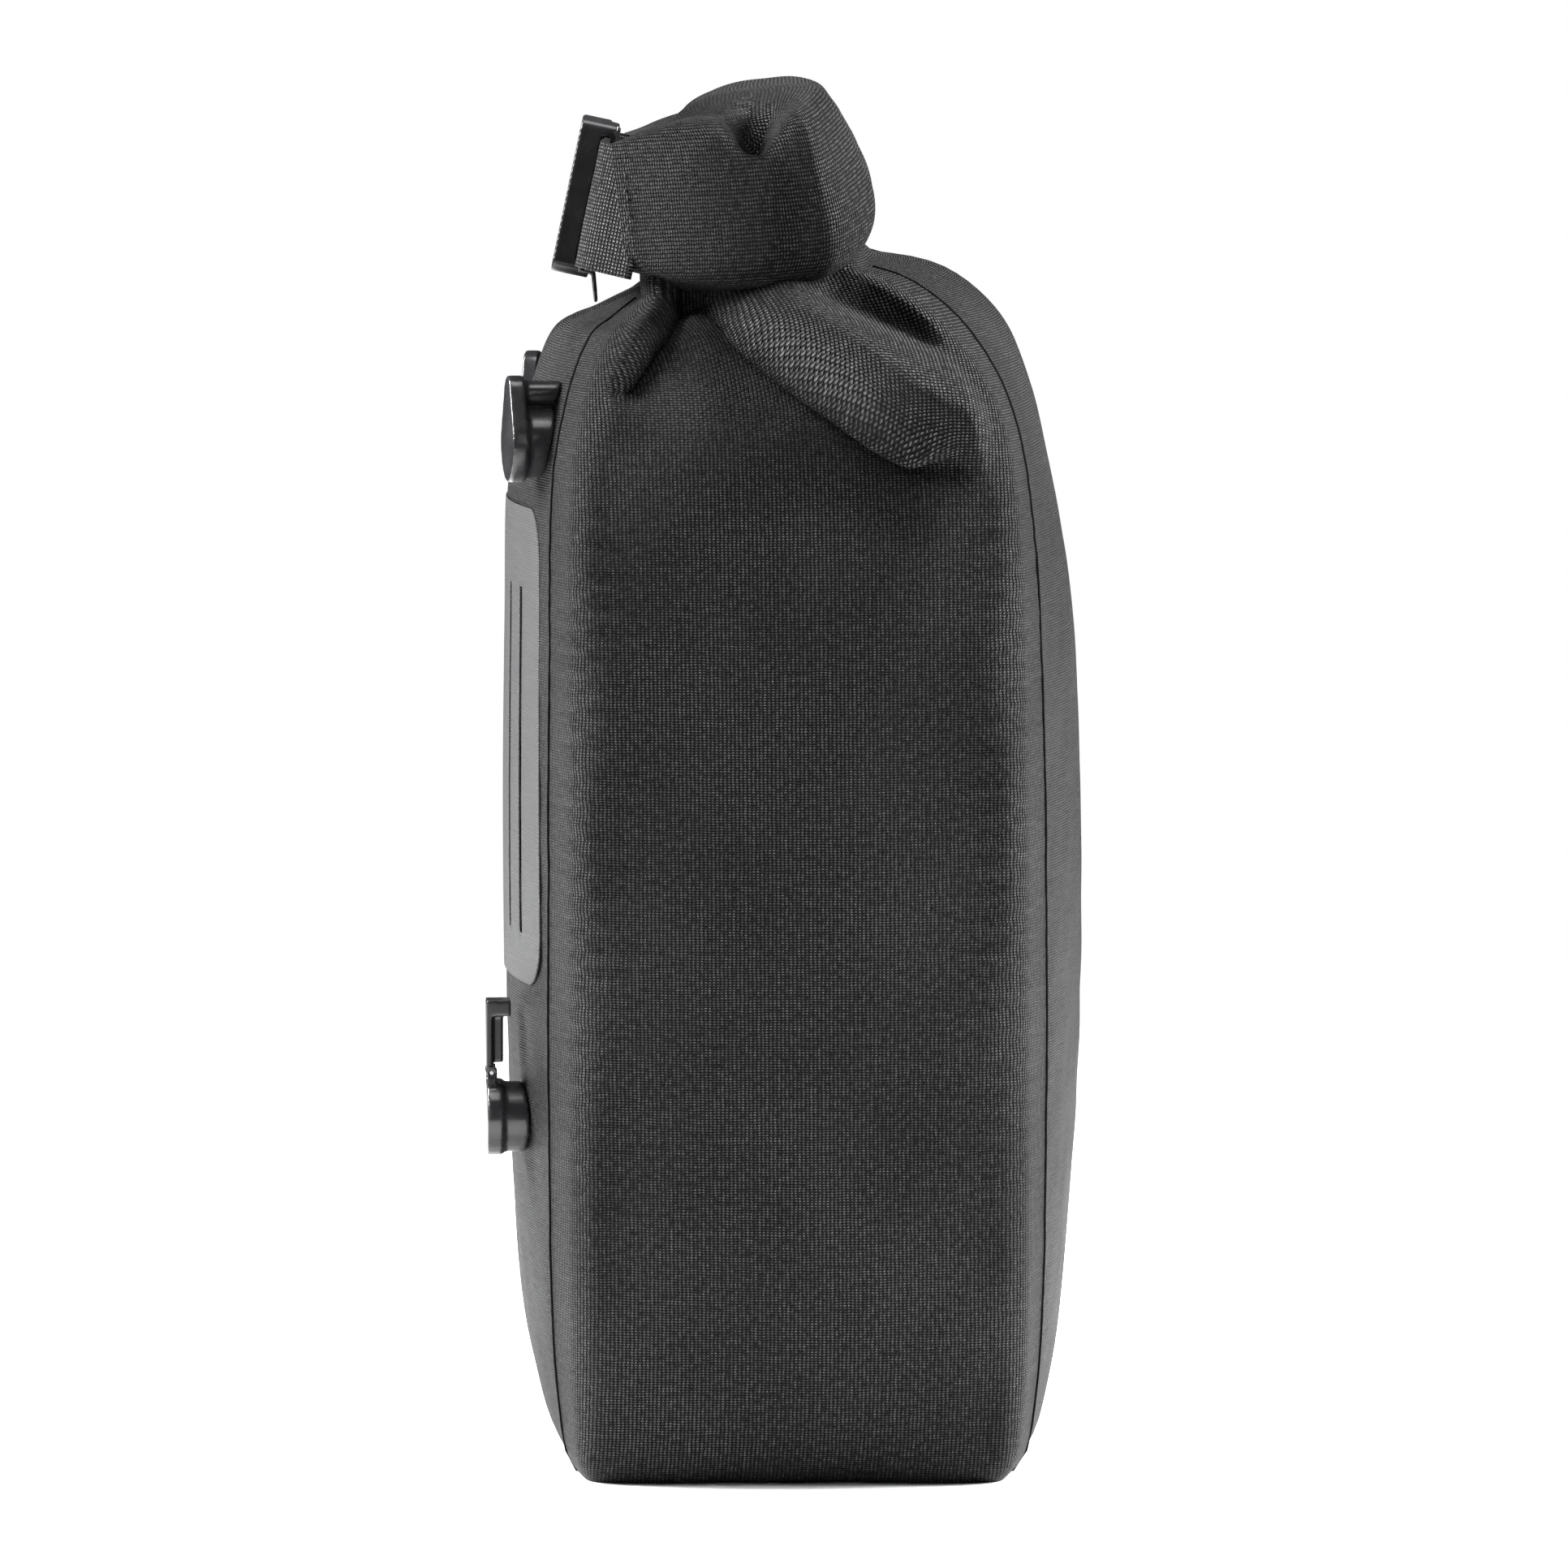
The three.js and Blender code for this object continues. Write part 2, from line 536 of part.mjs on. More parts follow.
function addWings() {
  for (const [name, side] of [["left", -1], ["right", 1]]) {
    const rings = WING.map(([x, y, heading, half, z, halfHeight]) => {
      const turn = THREE.MathUtils.degToRad(heading);
      const tilt = ROLL.tilt * Math.cos(turn);
      const across = new THREE.Vector3(Math.cos(turn), side * Math.sin(turn), tilt).normalize();
      const up = new THREE.Vector3(-tilt, 0, 1).normalize();
      const middle = new THREE.Vector3(x, side * y, z);
      return roundedRing(middle, across, up, half, halfHeight, ROLL_POWER, RING_POINTS);
    });
    add(`roll_wing_${name}`, loftGeometry(rings), FABRIC);
  }
}

// ---------------------------------------------------------------- strap and buckle
// The straps and the buckle are made in a frame of their own, then leaned in and put in place:
// its X points from the buckle's middle to the bag, its Y across the bag and its Z up the strap.
const closure = new THREE.Group();
closure.position.set(STRAP.x, 0, STRAP.z);
closure.rotation.y = STRAP.lean;
root.add(closure);

// The route of a strap's middle line: straight behind the buckle, then round to the wing's end.
function strapRoute(side, startY) {
  const route = [[0, startY], [0, (startY + BEND.y) / 2]];
  for (let k = 0; k <= BEND.steps; k++) {
    const angle = (k / BEND.steps) * BEND.turn;
    route.push([BEND.radius * (1 - Math.cos(angle)), BEND.y + BEND.radius * Math.sin(angle)]);
  }
  return route.map(([x, y]) => new THREE.Vector3(x, side * y, 0));
}

function addStrap(name, side, startY) {
  const route = strapRoute(side, startY);
  const rings = route.map((point, i) => {
    const before = route[Math.max(i - 1, 0)];
    const after = route[Math.min(i + 1, route.length - 1)];
    const heading = after.clone().sub(before).normalize();
    const across = new THREE.Vector3(heading.y, -heading.x, 0);
    const [a, b] = [STRAP.thickness / 2, STRAP.width / 2];
    return [[-a, -b], [a, -b], [a, b], [-a, b]].map(([u, w]) =>
      point.clone().add(across.clone().multiplyScalar(u)).add(new THREE.Vector3(0, 0, w)),
    );
  });
  return add(name, loftGeometry(rings), WEBBING, closure);
}

// The buckle's own group: the origin in its middle plane, in the middle of the socket's mouth.
const buckle = new THREE.Group();
buckle.position.set(-BUCKLE.offset, BUCKLE.mouthY, 0);
closure.add(buckle);

// Outlines in the buckle's middle plane: depth behind the mouth is Y, the width is Z.
const rampHalf = (depth) => BUCKLE.mouthHalf + BUCKLE.flare * depth;
// A prong's outer edge follows the ramp as the prong turns in while the plug is drawn out.
const prongOuter = (depth) =>
  BUCKLE.mouthHalf + (BUCKLE.flare * depth * (depth - PRONG.root)) / (PRONG.tip - PRONG.root) - 2 * GAP;

function outlineShape(points) {
  return new THREE.Shape(points.map(([along, up]) => new THREE.Vector2(along, up)));
}

// The flat way through a buckle for a strap that lies at a given X.
function strapWay(x, fromY, toY) {
  const half = STRAP.thickness / 2 + GAP;
  const up = STRAP.width / 2 + GAP;
  return block([x - half, fromY, -up], [x + half, toY, up]);
}

function addSocket() {
  const { halfWidth, length, halfThickness, cavity, cavityHalf, cavityEdge, offset, overlap, grooves } = BUCKLE;
  const body = roundedRectangle(length / 2, halfWidth, BUCKLE.corner);
  const deep = rampHalf(cavity) - cavityEdge;
  const room = outlineShape([[-1, -rampHalf(-1)], [cavity, -deep], [cavity, deep], [-1, rampHalf(-1)]]);
  const [windowLow, windowHigh] = BUCKLE.window;
  const windows = block([-cavityHalf, windowLow, -halfWidth - 1], [cavityHalf, windowHigh, halfWidth + 1]);
  const fingerGrooves = [-1, 0, 1].map((k) => {
    const middle = k * grooves.apart;
    return block(
      [-halfThickness - 1, BUCKLE.groove[0], middle - grooves.half],
      [-halfThickness + grooves.depth, BUCKLE.groove[1], middle + grooves.half],
    );
  });
  const barEnd = length + BUCKLE.tail;
  const solid = join(
    plateX(body, -halfThickness, halfThickness, { y: length / 2 }),
    block([-2, length - overlap, 2 - halfWidth], [offset + BUCKLE.bar, barEnd, halfWidth - 2]),
  );
  const way = strapWay(offset, length - 2, barEnd + 1);
  const cavityRoom = plateX(room, -cavityHalf, cavityHalf);
  add("buckle_socket", geometryOf(cut(solid, cavityRoom, windows, way, ...fingerGrooves)), PLASTIC, buckle);
}

function addPlug() {
  const { offset, halfWidth, bar } = BUCKLE;
  const ladder = roundedRectangle(LADDER.halfLength, halfWidth, LADDER.corner);
  const armRoot = PRONG.pivot + GUIDE.half;
  const solid = join(
    plateX(ladder, LADDER.face, offset + bar, { y: LADDER.middle }),
    block([-PRONG.thick, LADDER.face, -GUIDE.half], [PRONG.thick, GUIDE.length, GUIDE.half]),
    block([-PRONG.thick, LADDER.face, -armRoot], [PRONG.thick, PRONG.root - 4 * GAP, armRoot]),
  );
  // The ladder's slots on the outside, with a bar between them.
  const slots = LADDER.slots.map((y) =>
    block(
      [GUIDE.slotTop, y, -GUIDE.slotHalf],
      [offset - GUIDE.slotFloor, y + LADDER.slotWidth, GUIDE.slotHalf],
    ),
  );
  const way = strapWay(offset, -BUCKLE.length, BUCKLE.length);
  add("buckle_plug", geometryOf(cut(solid, way, ...slots)), PLASTIC, buckle);
}

function addProngs() {
  const steps = 8;
  const depths = Array.from({ length: steps + 1 }, (_, k) => (k / steps) * PRONG.tip);
  const outerAt = (d) => Math.max(prongOuter(d), PRONG.pivot + 3);
  const innerAt = (d) => outerAt(d) - PRONG.arm - PRONG.hook * (d / PRONG.tip) ** 2;
  for (const [name, side] of [["upper", 1], ["lower", -1]]) {
    const outline = [
      [PRONG.root, side * (PRONG.pivot - 3)],
      [PRONG.root, side * (PRONG.pivot + 3)],
      ...depths.map((d) => [d, side * outerAt(d)]),
      ...depths.map((d) => [d, side * innerAt(d)]).reverse(),
    ];
    const arm = plateX(outlineShape(outline), -PRONG.thick, PRONG.thick);
    add(`buckle_prong_${name}`, geometryOf(arm), PLASTIC, buckle);
  }
}

// The three-bar slider that holds the fixed strap's spare end flat.
function addSlider() {
  const half = SLIDER.length / 2;
  const outline = roundedRectangle(half, SLIDER.halfWidth, SLIDER.corner);
  const frame = plateX(outline, SLIDER.out, SLIDER.inside, { y: SLIDER.y });
  const slots = [-1, 1].map((k) => {
    const y = SLIDER.y + k * SLIDER_SLOT.offset;
    return block(
      [SLIDER.out - 1, y - SLIDER_SLOT.half, -SLIDER_SLOT.up],
      [0, y + SLIDER_SLOT.half, SLIDER_SLOT.up],
    );
  });
  const way = strapWay(0, SLIDER.y - half - 1, SLIDER.y + half + 1);
  add("strap_slider", geometryOf(cut(frame, way, ...slots)), PLASTIC, closure);
}

// The tag's leaf hangs straighter than the strap, so it is turned about the fold.
function addTag() {
  const near = STRAP.thickness / 2 + GAP;
  const { y, half, thickness, out, high, fold, length } = TAG;
  const shape = new THREE.Shape();
  shape.moveTo(-half, 0);
  shape.lineTo(half, 0);
  shape.quadraticCurveTo(half + 0.5, -0.6 * length, 0, -length);
  shape.quadraticCurveTo(-half - 0.5, -0.6 * length, -half, 0);
  const place = new THREE.Matrix4()
    .makeTranslation(near + out, y, fold)
    .multiply(new THREE.Matrix4().makeRotationY(THREE.MathUtils.degToRad(TAG.turn)));
  const tag = join(
    block([near, y - half, fold - thickness], [near + thickness, y + half, high]),
    block([near, y - half, fold - thickness], [near + out, y + half, fold]),
    plateX(shape, -thickness, 0, { place }),
  );
  add("strap_tag", geometryOf(tag), PLASTIC, closure);
}

addShell();
addBottom();
addBackBoard();
addPatch();
addPegs();
addScrews();
addLever();
addRoll();
addWings();
addStrap("closure_strap_left", -1, 23.5);
addStrap("closure_strap_right", 1, BUCKLE.mouthY + BUCKLE.length - 1.5);
addSocket();
addPlug();
addProngs();
addSlider();
addTag();

export default root;
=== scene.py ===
"""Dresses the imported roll-top pannier bag: woven shell, rolled mouth, webbing, buckle and pegs."""

import math

import bmesh
import bpy
import numpy as np
from bpy.props import FloatProperty, FloatVectorProperty, PointerProperty
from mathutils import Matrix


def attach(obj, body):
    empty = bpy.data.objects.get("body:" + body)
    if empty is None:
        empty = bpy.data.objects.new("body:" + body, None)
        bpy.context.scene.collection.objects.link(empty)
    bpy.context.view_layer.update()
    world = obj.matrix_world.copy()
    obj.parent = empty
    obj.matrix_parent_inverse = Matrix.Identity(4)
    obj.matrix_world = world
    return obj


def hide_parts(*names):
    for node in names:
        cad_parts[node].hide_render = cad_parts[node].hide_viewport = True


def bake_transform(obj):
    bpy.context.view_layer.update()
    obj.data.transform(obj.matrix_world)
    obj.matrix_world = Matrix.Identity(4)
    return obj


bl_info = {
    "name": "Roll-Top Pannier Bag",
    "version": (1, 0, 0),
    "blender": (4, 5, 0),
    "location": "3D View > Sidebar > Pannier",
    "description": "Builds the cloth, webbing and moulded fittings of a roll-top pannier bag",
    "category": "Object",
}

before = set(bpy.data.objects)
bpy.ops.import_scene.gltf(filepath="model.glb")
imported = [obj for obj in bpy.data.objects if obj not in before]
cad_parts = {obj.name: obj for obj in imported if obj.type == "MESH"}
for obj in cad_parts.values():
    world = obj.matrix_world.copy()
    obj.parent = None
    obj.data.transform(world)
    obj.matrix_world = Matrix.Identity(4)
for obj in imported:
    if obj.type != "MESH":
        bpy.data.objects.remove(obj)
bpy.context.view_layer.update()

MM = 0.001
TABS = "Pannier"

# The bag's body in millimetres, station by station from the ground to the mouth: height, rear seam,
# front seam, half width, rear bulge, front bulge, side bulge, and the rise per millimetre of X.
STATIONS = np.array(
    [
        (0, -57, 63.5, 106, 10.5, 10.5, 2, 0),
        (6, -59.5, 67, 110.5, 12, 11.5, 3, 0),
        (18, -60, 69, 113.5, 16, 12.7, 4, 0),
        (50, -60.5, 70.5, 118, 21.5, 16, 6, 0),
        (115, -60.5, 70, 126, 25, 21, 7, 0),
        (190, -60.5, 69.5, 137, 26, 22.5, 7, 0),
        (257, -60.5, 68.5, 147, 25.3, 20.8, 6, 0),
        (300, -60, 66.5, 152, 24.7, 16, 5, 0),
        (327, -56.5, 60.5, 150, 21.5, 15.5, 3, 0),
        (346, -50, 47.5, 142, 20.7, 19.9, 1, 0.02),
        (357, -44.5, 31, 135, 15, 18, 1, 0.12),
        (363, -40, 20, 128, 4, 8, 1, 0.14),
    ]
)

# The rolled mouth from the bag's middle to one end, in millimetres: the outer and inner edge in plan
# (X, distance from the middle), then the heights of its top and its underside.
ROLL_ROWS = np.array(
    [
        (28, 0, -36, 0, 420, 369.2),
        (28, 60, -36, 60, 420, 369.2),
        (28, 100, -36, 100, 420, 369),
        (28, 112, -36, 110.5, 419.6, 368.2),
        (26.5, 121, -34.5, 113, 418.4, 365.6),
        (21, 131.5, -33.5, 115, 415.6, 362),
        (14.5, 138.8, -33.5, 116, 412.6, 359.6),
        (8, 139.8, -33.8, 116.8, 411.4, 358.8),
        (-4, 139.2, -35, 117.4, 410.6, 358.8),
        (-17, 137.6, -37, 118, 409.2, 359.4),
        (-30, 134.2, -41, 118.2, 407, 361.3),
        (-41.5, 129.4, -45, 118.2, 404.4, 363.6),
        (-49, 125.2, -49, 119, 402.6, 364.8),
    ]
)
ROLL_TILT = 0.12
ROLL_POWER = 2.5
WING_POWER = 4.5

# Radius in millimetres of the rim on the strap's slider, and how square the rim's outline is: 1 is an
# ellipse and 0 an oblong.
RIM = 1.2
RIM_ROUND = 0.3

# The strap's plane, in millimetres: its place, its lean towards the bag at the top, and the bend
# that takes it from straight across the bag into the end of the rolled mouth.
STRAP_X = -58.5
STRAP_Z = 384.5
STRAP_LEAN = math.radians(12)
STRAP_BEND = 105.0
BEND_RADIUS = 17.0
BEND_TURN = math.radians(51)
TUCKED_IN = 13.0
STRAP_HALF = 19.0
STRAP_STARTS = {"left": 23.5, "right": 12.5}

# The stitches down the sewn edge, in millimetres: their place in X, their lowest and highest, their
# count, length and radius, and the place on ROLL_ROWS whose outer edge they lie on.
STITCH_X = -46.6
STITCH_HEIGHTS = (368.5, 399.5)
STITCHES = 15
STITCH_LENGTH = 1.5
STITCH_RADIUS = 0.32
SEWN_PLACE = 11.68

# The wear patch in millimetres, its reach as a share of the half width, and its slits: their lowest
# and highest, their places and half their width as shares of the half width.
PATCH_LOW = 148.0
PATCH_HIGH = 293.0
PATCH_CORNER = 15.0
PATCH_REACH = 0.72
SLIT_HEIGHTS = (162, 268)
SLIT_PLACES = (0.36, 0.53)
SLIT_HALF = 0.02

# Rows of cloth tucked up into the rolled mouth, and the radius in millimetres of the painted shade beads.
LIP_ROWS = 8
BEAD_RADIUS = 0.55

# The lamps: name, place, aim and sides in metres, and the setting that holds their power.
LAMPS = (
    ("left_softbox", (-2.0, 0.2, 1.45), (0, 0, 0.25), (0.7, 1.5), "side_light"),
    ("right_softbox", (2.0, 0.1, 1.45), (0, 0, 0.25), (0.7, 1.5), "side_light"),
    ("top_softbox", (0, -0.75, 2.3), (0, 0, 0.3), (1.3, 0.9), "top_light"),
    ("left_strip", (-1.0, -2.4, 0.9), (0, 0, 0.25), (0.14, 1.1), "strip_light"),
    ("right_strip", (1.0, -2.4, 0.9), (0, 0, 0.25), (0.14, 1.1), "strip_light"),
)
CAMERA_PLACE = (0, -2.990, 0.443)
CAMERA_AIM = (0, 0, 0.2025)
CAMERA_LENS = 222.0

# Half the floor's side, and the distances over which it thins out, in metres.
FLOOR_REACH = 3.0
FLOOR_CLEAR = 0.35
FLOOR_GONE = 1.6


# ---------------------------------------------------------------- numbers and paths
def spline(rows, places):
    """Catmull-Rom through the rows: each place counts rows from 0, and its four nearest rows are
    weighted by the usual cubic polynomials of its fraction."""
    last = len(rows) - 1
    first = np.clip(np.floor(places).astype(int), 0, last - 1)
    t = (places - first)[..., None]
    a, b, c, d = (rows[np.clip(first + k, 0, last)] for k in (-1, 0, 1, 2))
    return 0.5 * (2 * b + (c - a) * t + (2 * a - 5 * b + 4 * c - d) * t**2 + (3 * b - a - 3 * c + d) * t**3)


def even_places(rows, column, steps):
    """Places on a spline at equal steps of one of its rising columns, found on a dense sample."""
    dense = np.linspace(0, len(rows) - 1, 2000)
    rise = spline(rows, dense)[:, column]
    return np.interp(steps, rise, dense)


def ripple(x, y, length, seed):
    """Soft unevenness from -1 to 1: five sine waves of about one length, each turned another way."""
    spin = np.random.default_rng(seed)
    total = np.zeros(np.broadcast(x, y).shape)
    for _ in range(5):
        heading, phase = spin.uniform(0, 2 * math.pi, 2)
        wave = 2 * math.pi / (length * spin.uniform(0.7, 1.5))
        total = total + np.sin(wave * (x * math.cos(heading) + y * math.sin(heading)) + phase)
    return total / 5


def along_path(x, y, path):
    """Distance from each point to a curve through the path's points, the share of the curve passed at
    the nearest point, and the side: positive to the left of the curve's direction."""
    path = spline(np.asarray(path, float), np.linspace(0, len(path) - 1, 28))
    lengths = np.hypot(*(path[1:] - path[:-1]).T)
    start = np.concatenate([[0], np.cumsum(lengths)])
    best = np.full(np.shape(x), np.inf)
    share = np.zeros(np.shape(x))
    side = np.zeros(np.shape(x))
    for a, b, length, passed in zip(path[:-1], path[1:], lengths, start[:-1]):
        way = (b - a) / length
        run = np.clip((x - a[0]) * way[0] + (y - a[1]) * way[1], 0, length)
        off_x, off_y = x - a[0] - run * way[0], y - a[1] - run * way[1]
        distance = np.hypot(off_x, off_y)
        closer = distance < best
        best = np.where(closer, distance, best)
        share = np.where(closer, (passed + run) / start[-1], share)
        side = np.where(closer, np.sign(way[0] * off_y - way[1] * off_x), side)
    return best, share, side


def signed_power(value, power):
    """The size of a value raised to a power, with its sign kept."""
    return np.sign(value) * np.abs(value) ** power


def bell(distance, width):
    """1 at no distance, falling off as a Gaussian curve of that width."""
    return np.exp(-((distance / width) ** 2))


def smooth_step(value, low, high):
    """0 below low, 1 above high, with a smooth cubic rise between them."""
    t = np.clip((value - low) / (high - low), 0, 1)
    return t * t * (3 - 2 * t)


def relaxed(points, rounds):
    """Each inner column of a grid moved to a quarter, half, quarter mean of its neighbours."""
    for _ in range(rounds):
        middle = 0.25 * points[:, :-2] + 0.5 * points[:, 1:-1] + 0.25 * points[:, 2:]
        points = np.concatenate([points[:, :1], middle, points[:, -1:]], axis=1)
    return points


def grid_normals(points):
    """Unit normals of a grid: the cross product of its two central differences."""
    down = np.gradient(points, axis=0)
    across = np.gradient(points, axis=1)
    normal = np.cross(across, down)
    return normal / np.maximum(np.linalg.norm(normal, axis=2, keepdims=True), 1e-9)


# ---------------------------------------------------------------- meshes
def grid_mesh(name, points, around=False, capped=False, keep=None, cut=None):
    """A mesh of quads over a grid of points in millimetres; around joins the last column to the first.
    Its UV map is in metres: along each row from its middle, and up the middle column, both
    measured on the grid as it was cut, before its folds. keep says which quads stay."""
    rows, columns = points.shape[:2]
    flat = points if cut is None else cut
    lap = np.concatenate([flat, flat[:, :1]], axis=1) if around else flat
    middle = lap.shape[1] // 2
    run = np.cumsum(np.linalg.norm(np.diff(lap, axis=1), axis=2), axis=1)
    run = np.concatenate([np.zeros((rows, 1)), run], axis=1)
    run = run - run[:, middle : middle + 1]
    rise = np.cumsum(np.linalg.norm(np.diff(lap[:, middle], axis=0), axis=1))
    rise = np.concatenate([[0], rise])[:, None] + 0 * run
    uv = np.stack([run, rise], axis=2) * MM
    r, c = np.meshgrid(np.arange(rows - 1), np.arange(lap.shape[1] - 1), indexing="ij")
    corners = [(r, c), (r, c + 1), (r + 1, c + 1), (r + 1, c)]
    faces = np.stack([i * columns + j % columns for i, j in corners], axis=2).reshape(-1, 4)
    face_uv = np.stack([uv[i, j] for i, j in corners], axis=2).reshape(-1, 2)
    if keep is not None:
        faces = faces[keep.ravel()]
        face_uv = face_uv.reshape(-1, 4, 2)[keep.ravel()].reshape(-1, 2)
    polygons = faces.tolist()
    if capped:
        ends = [np.arange(columns)[::-1], (rows - 1) * columns + np.arange(columns)]
        polygons += [end.tolist() for end in ends]
        face_uv = np.concatenate([face_uv, np.zeros((2 * columns, 2))])
    mesh = bpy.data.meshes.new(name)
    mesh.from_pydata((points.reshape(-1, 3) * MM).tolist(), [], polygons)
    mesh.uv_layers.new(name="grain").data.foreach_set("uv", face_uv.ravel())
    mesh.shade_smooth()
    mesh.update()
    return mesh


def place(name, mesh, material, body, slot):
    """Adds a finished mesh to the scene, wearing the given material and riding on a body when one is given;
    slot is not used.
    """
    made = bpy.data.objects.new(name, mesh)
    bpy.context.scene.collection.objects.link(made)
    made.data.materials.append(material)
    if body:
        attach(made, body)
    return made


def thicken(piece, thickness):
    """Gives an open surface its thickness, inwards from its outer face."""
    wall = piece.modifiers.new("thickness", "SOLIDIFY")
    wall.thickness = thickness
    wall.offset = -1


def moulded_copy(node, body, material, voxel, rounds, keep):
    """A copy of a CAD node with softened edges: merged, remeshed, smoothed and thinned out."""
    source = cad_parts[node]
    shape = bmesh.new()
    shape.from_mesh(source.data)
    bmesh.ops.remove_doubles(shape, verts=shape.verts, dist=1e-6)
    mesh = bpy.data.meshes.new(node + "_moulded")
    shape.to_mesh(mesh)
    shape.free()
    made = bpy.data.objects.new(node + "_moulded", mesh)
    bpy.context.scene.collection.objects.link(made)
    remesh = made.modifiers.new("even grid", "REMESH")
    remesh.mode = "VOXEL"
    remesh.voxel_size = voxel
    soften = made.modifiers.new("soft edges", "SMOOTH")
    soften.iterations = rounds
    soften.factor = 0.5
    thin = made.modifiers.new("fewer faces", "DECIMATE")
    thin.ratio = keep
    bpy.context.view_layer.update()
    ready = made.evaluated_get(bpy.context.evaluated_depsgraph_get())
    finished = bpy.data.meshes.new_from_object(ready)
    made.modifiers.clear()
    made.data = finished
    finished.shade_smooth()
    finished.materials.clear()
    finished.materials.append(material)
    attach(made, body)
    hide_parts(node)


# ---------------------------------------------------------------- materials
class Finish:
    """A material being wired: short ways to add a node, a link and a maths step."""

    def __init__(self, name):
        self.material = bpy.data.materials.new(name)
        self.material.use_nodes = True
        self.nodes = self.material.node_tree.nodes
        self.links = self.material.node_tree.links
        self.shader = self.nodes["Principled BSDF"]

    def add(self, kind, **settings):
        node = self.nodes.new(kind)
        for key, value in settings.items():
            setattr(node, key, value)
        return node

    def join(self, output, entry):
        self.links.new(output, entry)

    def feed(self, output, name):
        self.join(output, self.shader.inputs[name])

    def spot(self):
        return self.add("ShaderNodeTexCoord").outputs["Object"]

    def grain(self):
        return self.add("ShaderNodeUVMap", uv_map="grain").outputs["UV"]

    def step(self, operation, first, second=None):
        node = self.add("ShaderNodeMath", operation=operation)
        for entry, value in zip(node.inputs, (first, second)):
            if isinstance(value, (int, float)):
                entry.default_value = value
            elif value is not None:
                self.join(value, entry)
        return node.outputs[0]

    def noise(self, coordinates, scale, detail):
        node = self.add("ShaderNodeTexNoise")
        node.inputs["Scale"].default_value = scale
        node.inputs["Detail"].default_value = detail
        self.join(coordinates, node.inputs["Vector"])
        return node

    def tint(self, value, stops):
        node = self.add("ShaderNodeValToRGB")
        node.color_ramp.elements[0].position = stops[0][0]
        node.color_ramp.elements[0].color = (*stops[0][1], 1)
        node.color_ramp.elements[1].position = stops[-1][0]
        node.color_ramp.elements[1].color = (*stops[-1][1], 1)
        for position, colour in stops[1:-1]:
            node.color_ramp.elements.new(position).color = (*colour, 1)
        self.join(value, node.inputs["Fac"])
        self.feed(node.outputs["Color"], "Base Color")

    def bump(self, height, strength, distance):
        node = self.add("ShaderNodeBump")
        node.inputs["Strength"].default_value = strength
        node.inputs["Distance"].default_value = distance
        self.join(height, node.inputs["Height"])
        self.feed(node.outputs["Normal"], "Normal")

    def gloss(self, roughness, sheen=0.0, specular=0.5):
        self.shader.inputs["Roughness"].default_value = roughness
        self.shader.inputs["Sheen Weight"].default_value = sheen
        self.shader.inputs["Sheen Roughness"].default_value = 0.5
        self.shader.inputs["Specular IOR Level"].default_value = specular


def woven(finish, coordinates, across, along):
    """Height of a plain weave, 0 to 1: in every other cell of a grid the warp yarn lies on top, as a
    sine ridge running up the cloth, and in the rest the weft yarn, as a ridge running across."""
    wobble = finish.noise(coordinates, 260.0, 1.0)
    shift = finish.add("ShaderNodeVectorMath", operation="MULTIPLY_ADD")
    shift.inputs[1].default_value = (0.0005, 0.0005, 0)
    finish.join(wobble.outputs["Color"], shift.inputs[0])
    finish.join(coordinates, shift.inputs[2])
    cells = finish.add("ShaderNodeMapping")
    cells.inputs["Scale"].default_value = (1 / across, 1 / along, 0)
    finish.join(shift.outputs[0], cells.inputs["Vector"])
    checker = finish.add("ShaderNodeTexChecker")
    checker.inputs["Scale"].default_value = 1.0
    finish.join(cells.outputs[0], checker.inputs["Vector"])
    split = finish.add("ShaderNodeSeparateXYZ")
    finish.join(cells.outputs[0], split.inputs[0])
    ridges = []
    for part in ("X", "Y"):
        angle = finish.step("MULTIPLY", split.outputs[part], math.pi)
        ridges.append(finish.step("ABSOLUTE", finish.step("SINE", angle)))
    heights = []
    for narrow, long in (ridges, ridges[::-1]):
        crown = finish.step("POWER", narrow, 1.6)
        heights.append(finish.step("MULTIPLY", crown, finish.step("POWER", long, 0.5)))
    choose = finish.add("ShaderNodeMix")
    finish.join(checker.outputs["Fac"], choose.inputs[0])
    finish.join(heights[0], choose.inputs[2])
    finish.join(heights[1], choose.inputs[3])
    return choose.outputs[0]


def cloth_material(name, look, across, along, tone=1.0):
    """Coated woven cloth: painted shade darkens the gaps between the yarns, painted highlight lightens the
    yarn crowns over their uneven tone, and a matt sheen.
    """
    finish = Finish(name)
    grain = finish.grain()
    height = woven(finish, grain, across, along)
    slubs = finish.noise(grain, 520.0, 2.0).outputs["Fac"]
    patches = finish.noise(grain, 16.0, 3.0).outputs["Fac"]
    uneven = finish.step("ADD", finish.step("MULTIPLY", slubs, 1.1), finish.step("MULTIPLY", patches, 0.5))
    # The colour follows the weave's height: the gaps are painted shade and the crowns painted highlight; the
    # slub and patch noise is the yarn's uneven tone.
    level = finish.step("MULTIPLY", height, uneven)
    stops = [(0.22, look.cloth_gap_shade), (0.5, look.cloth_yarn), (0.92, look.cloth_fleck_highlight)]
    finish.tint(level, [(place, tuple(tone * c for c in shade)) for place, shade in stops])
    finish.bump(height, 1.0, 0.0009)
    finish.gloss(0.5, look.cloth_sheen, 0.1)
    return finish.material


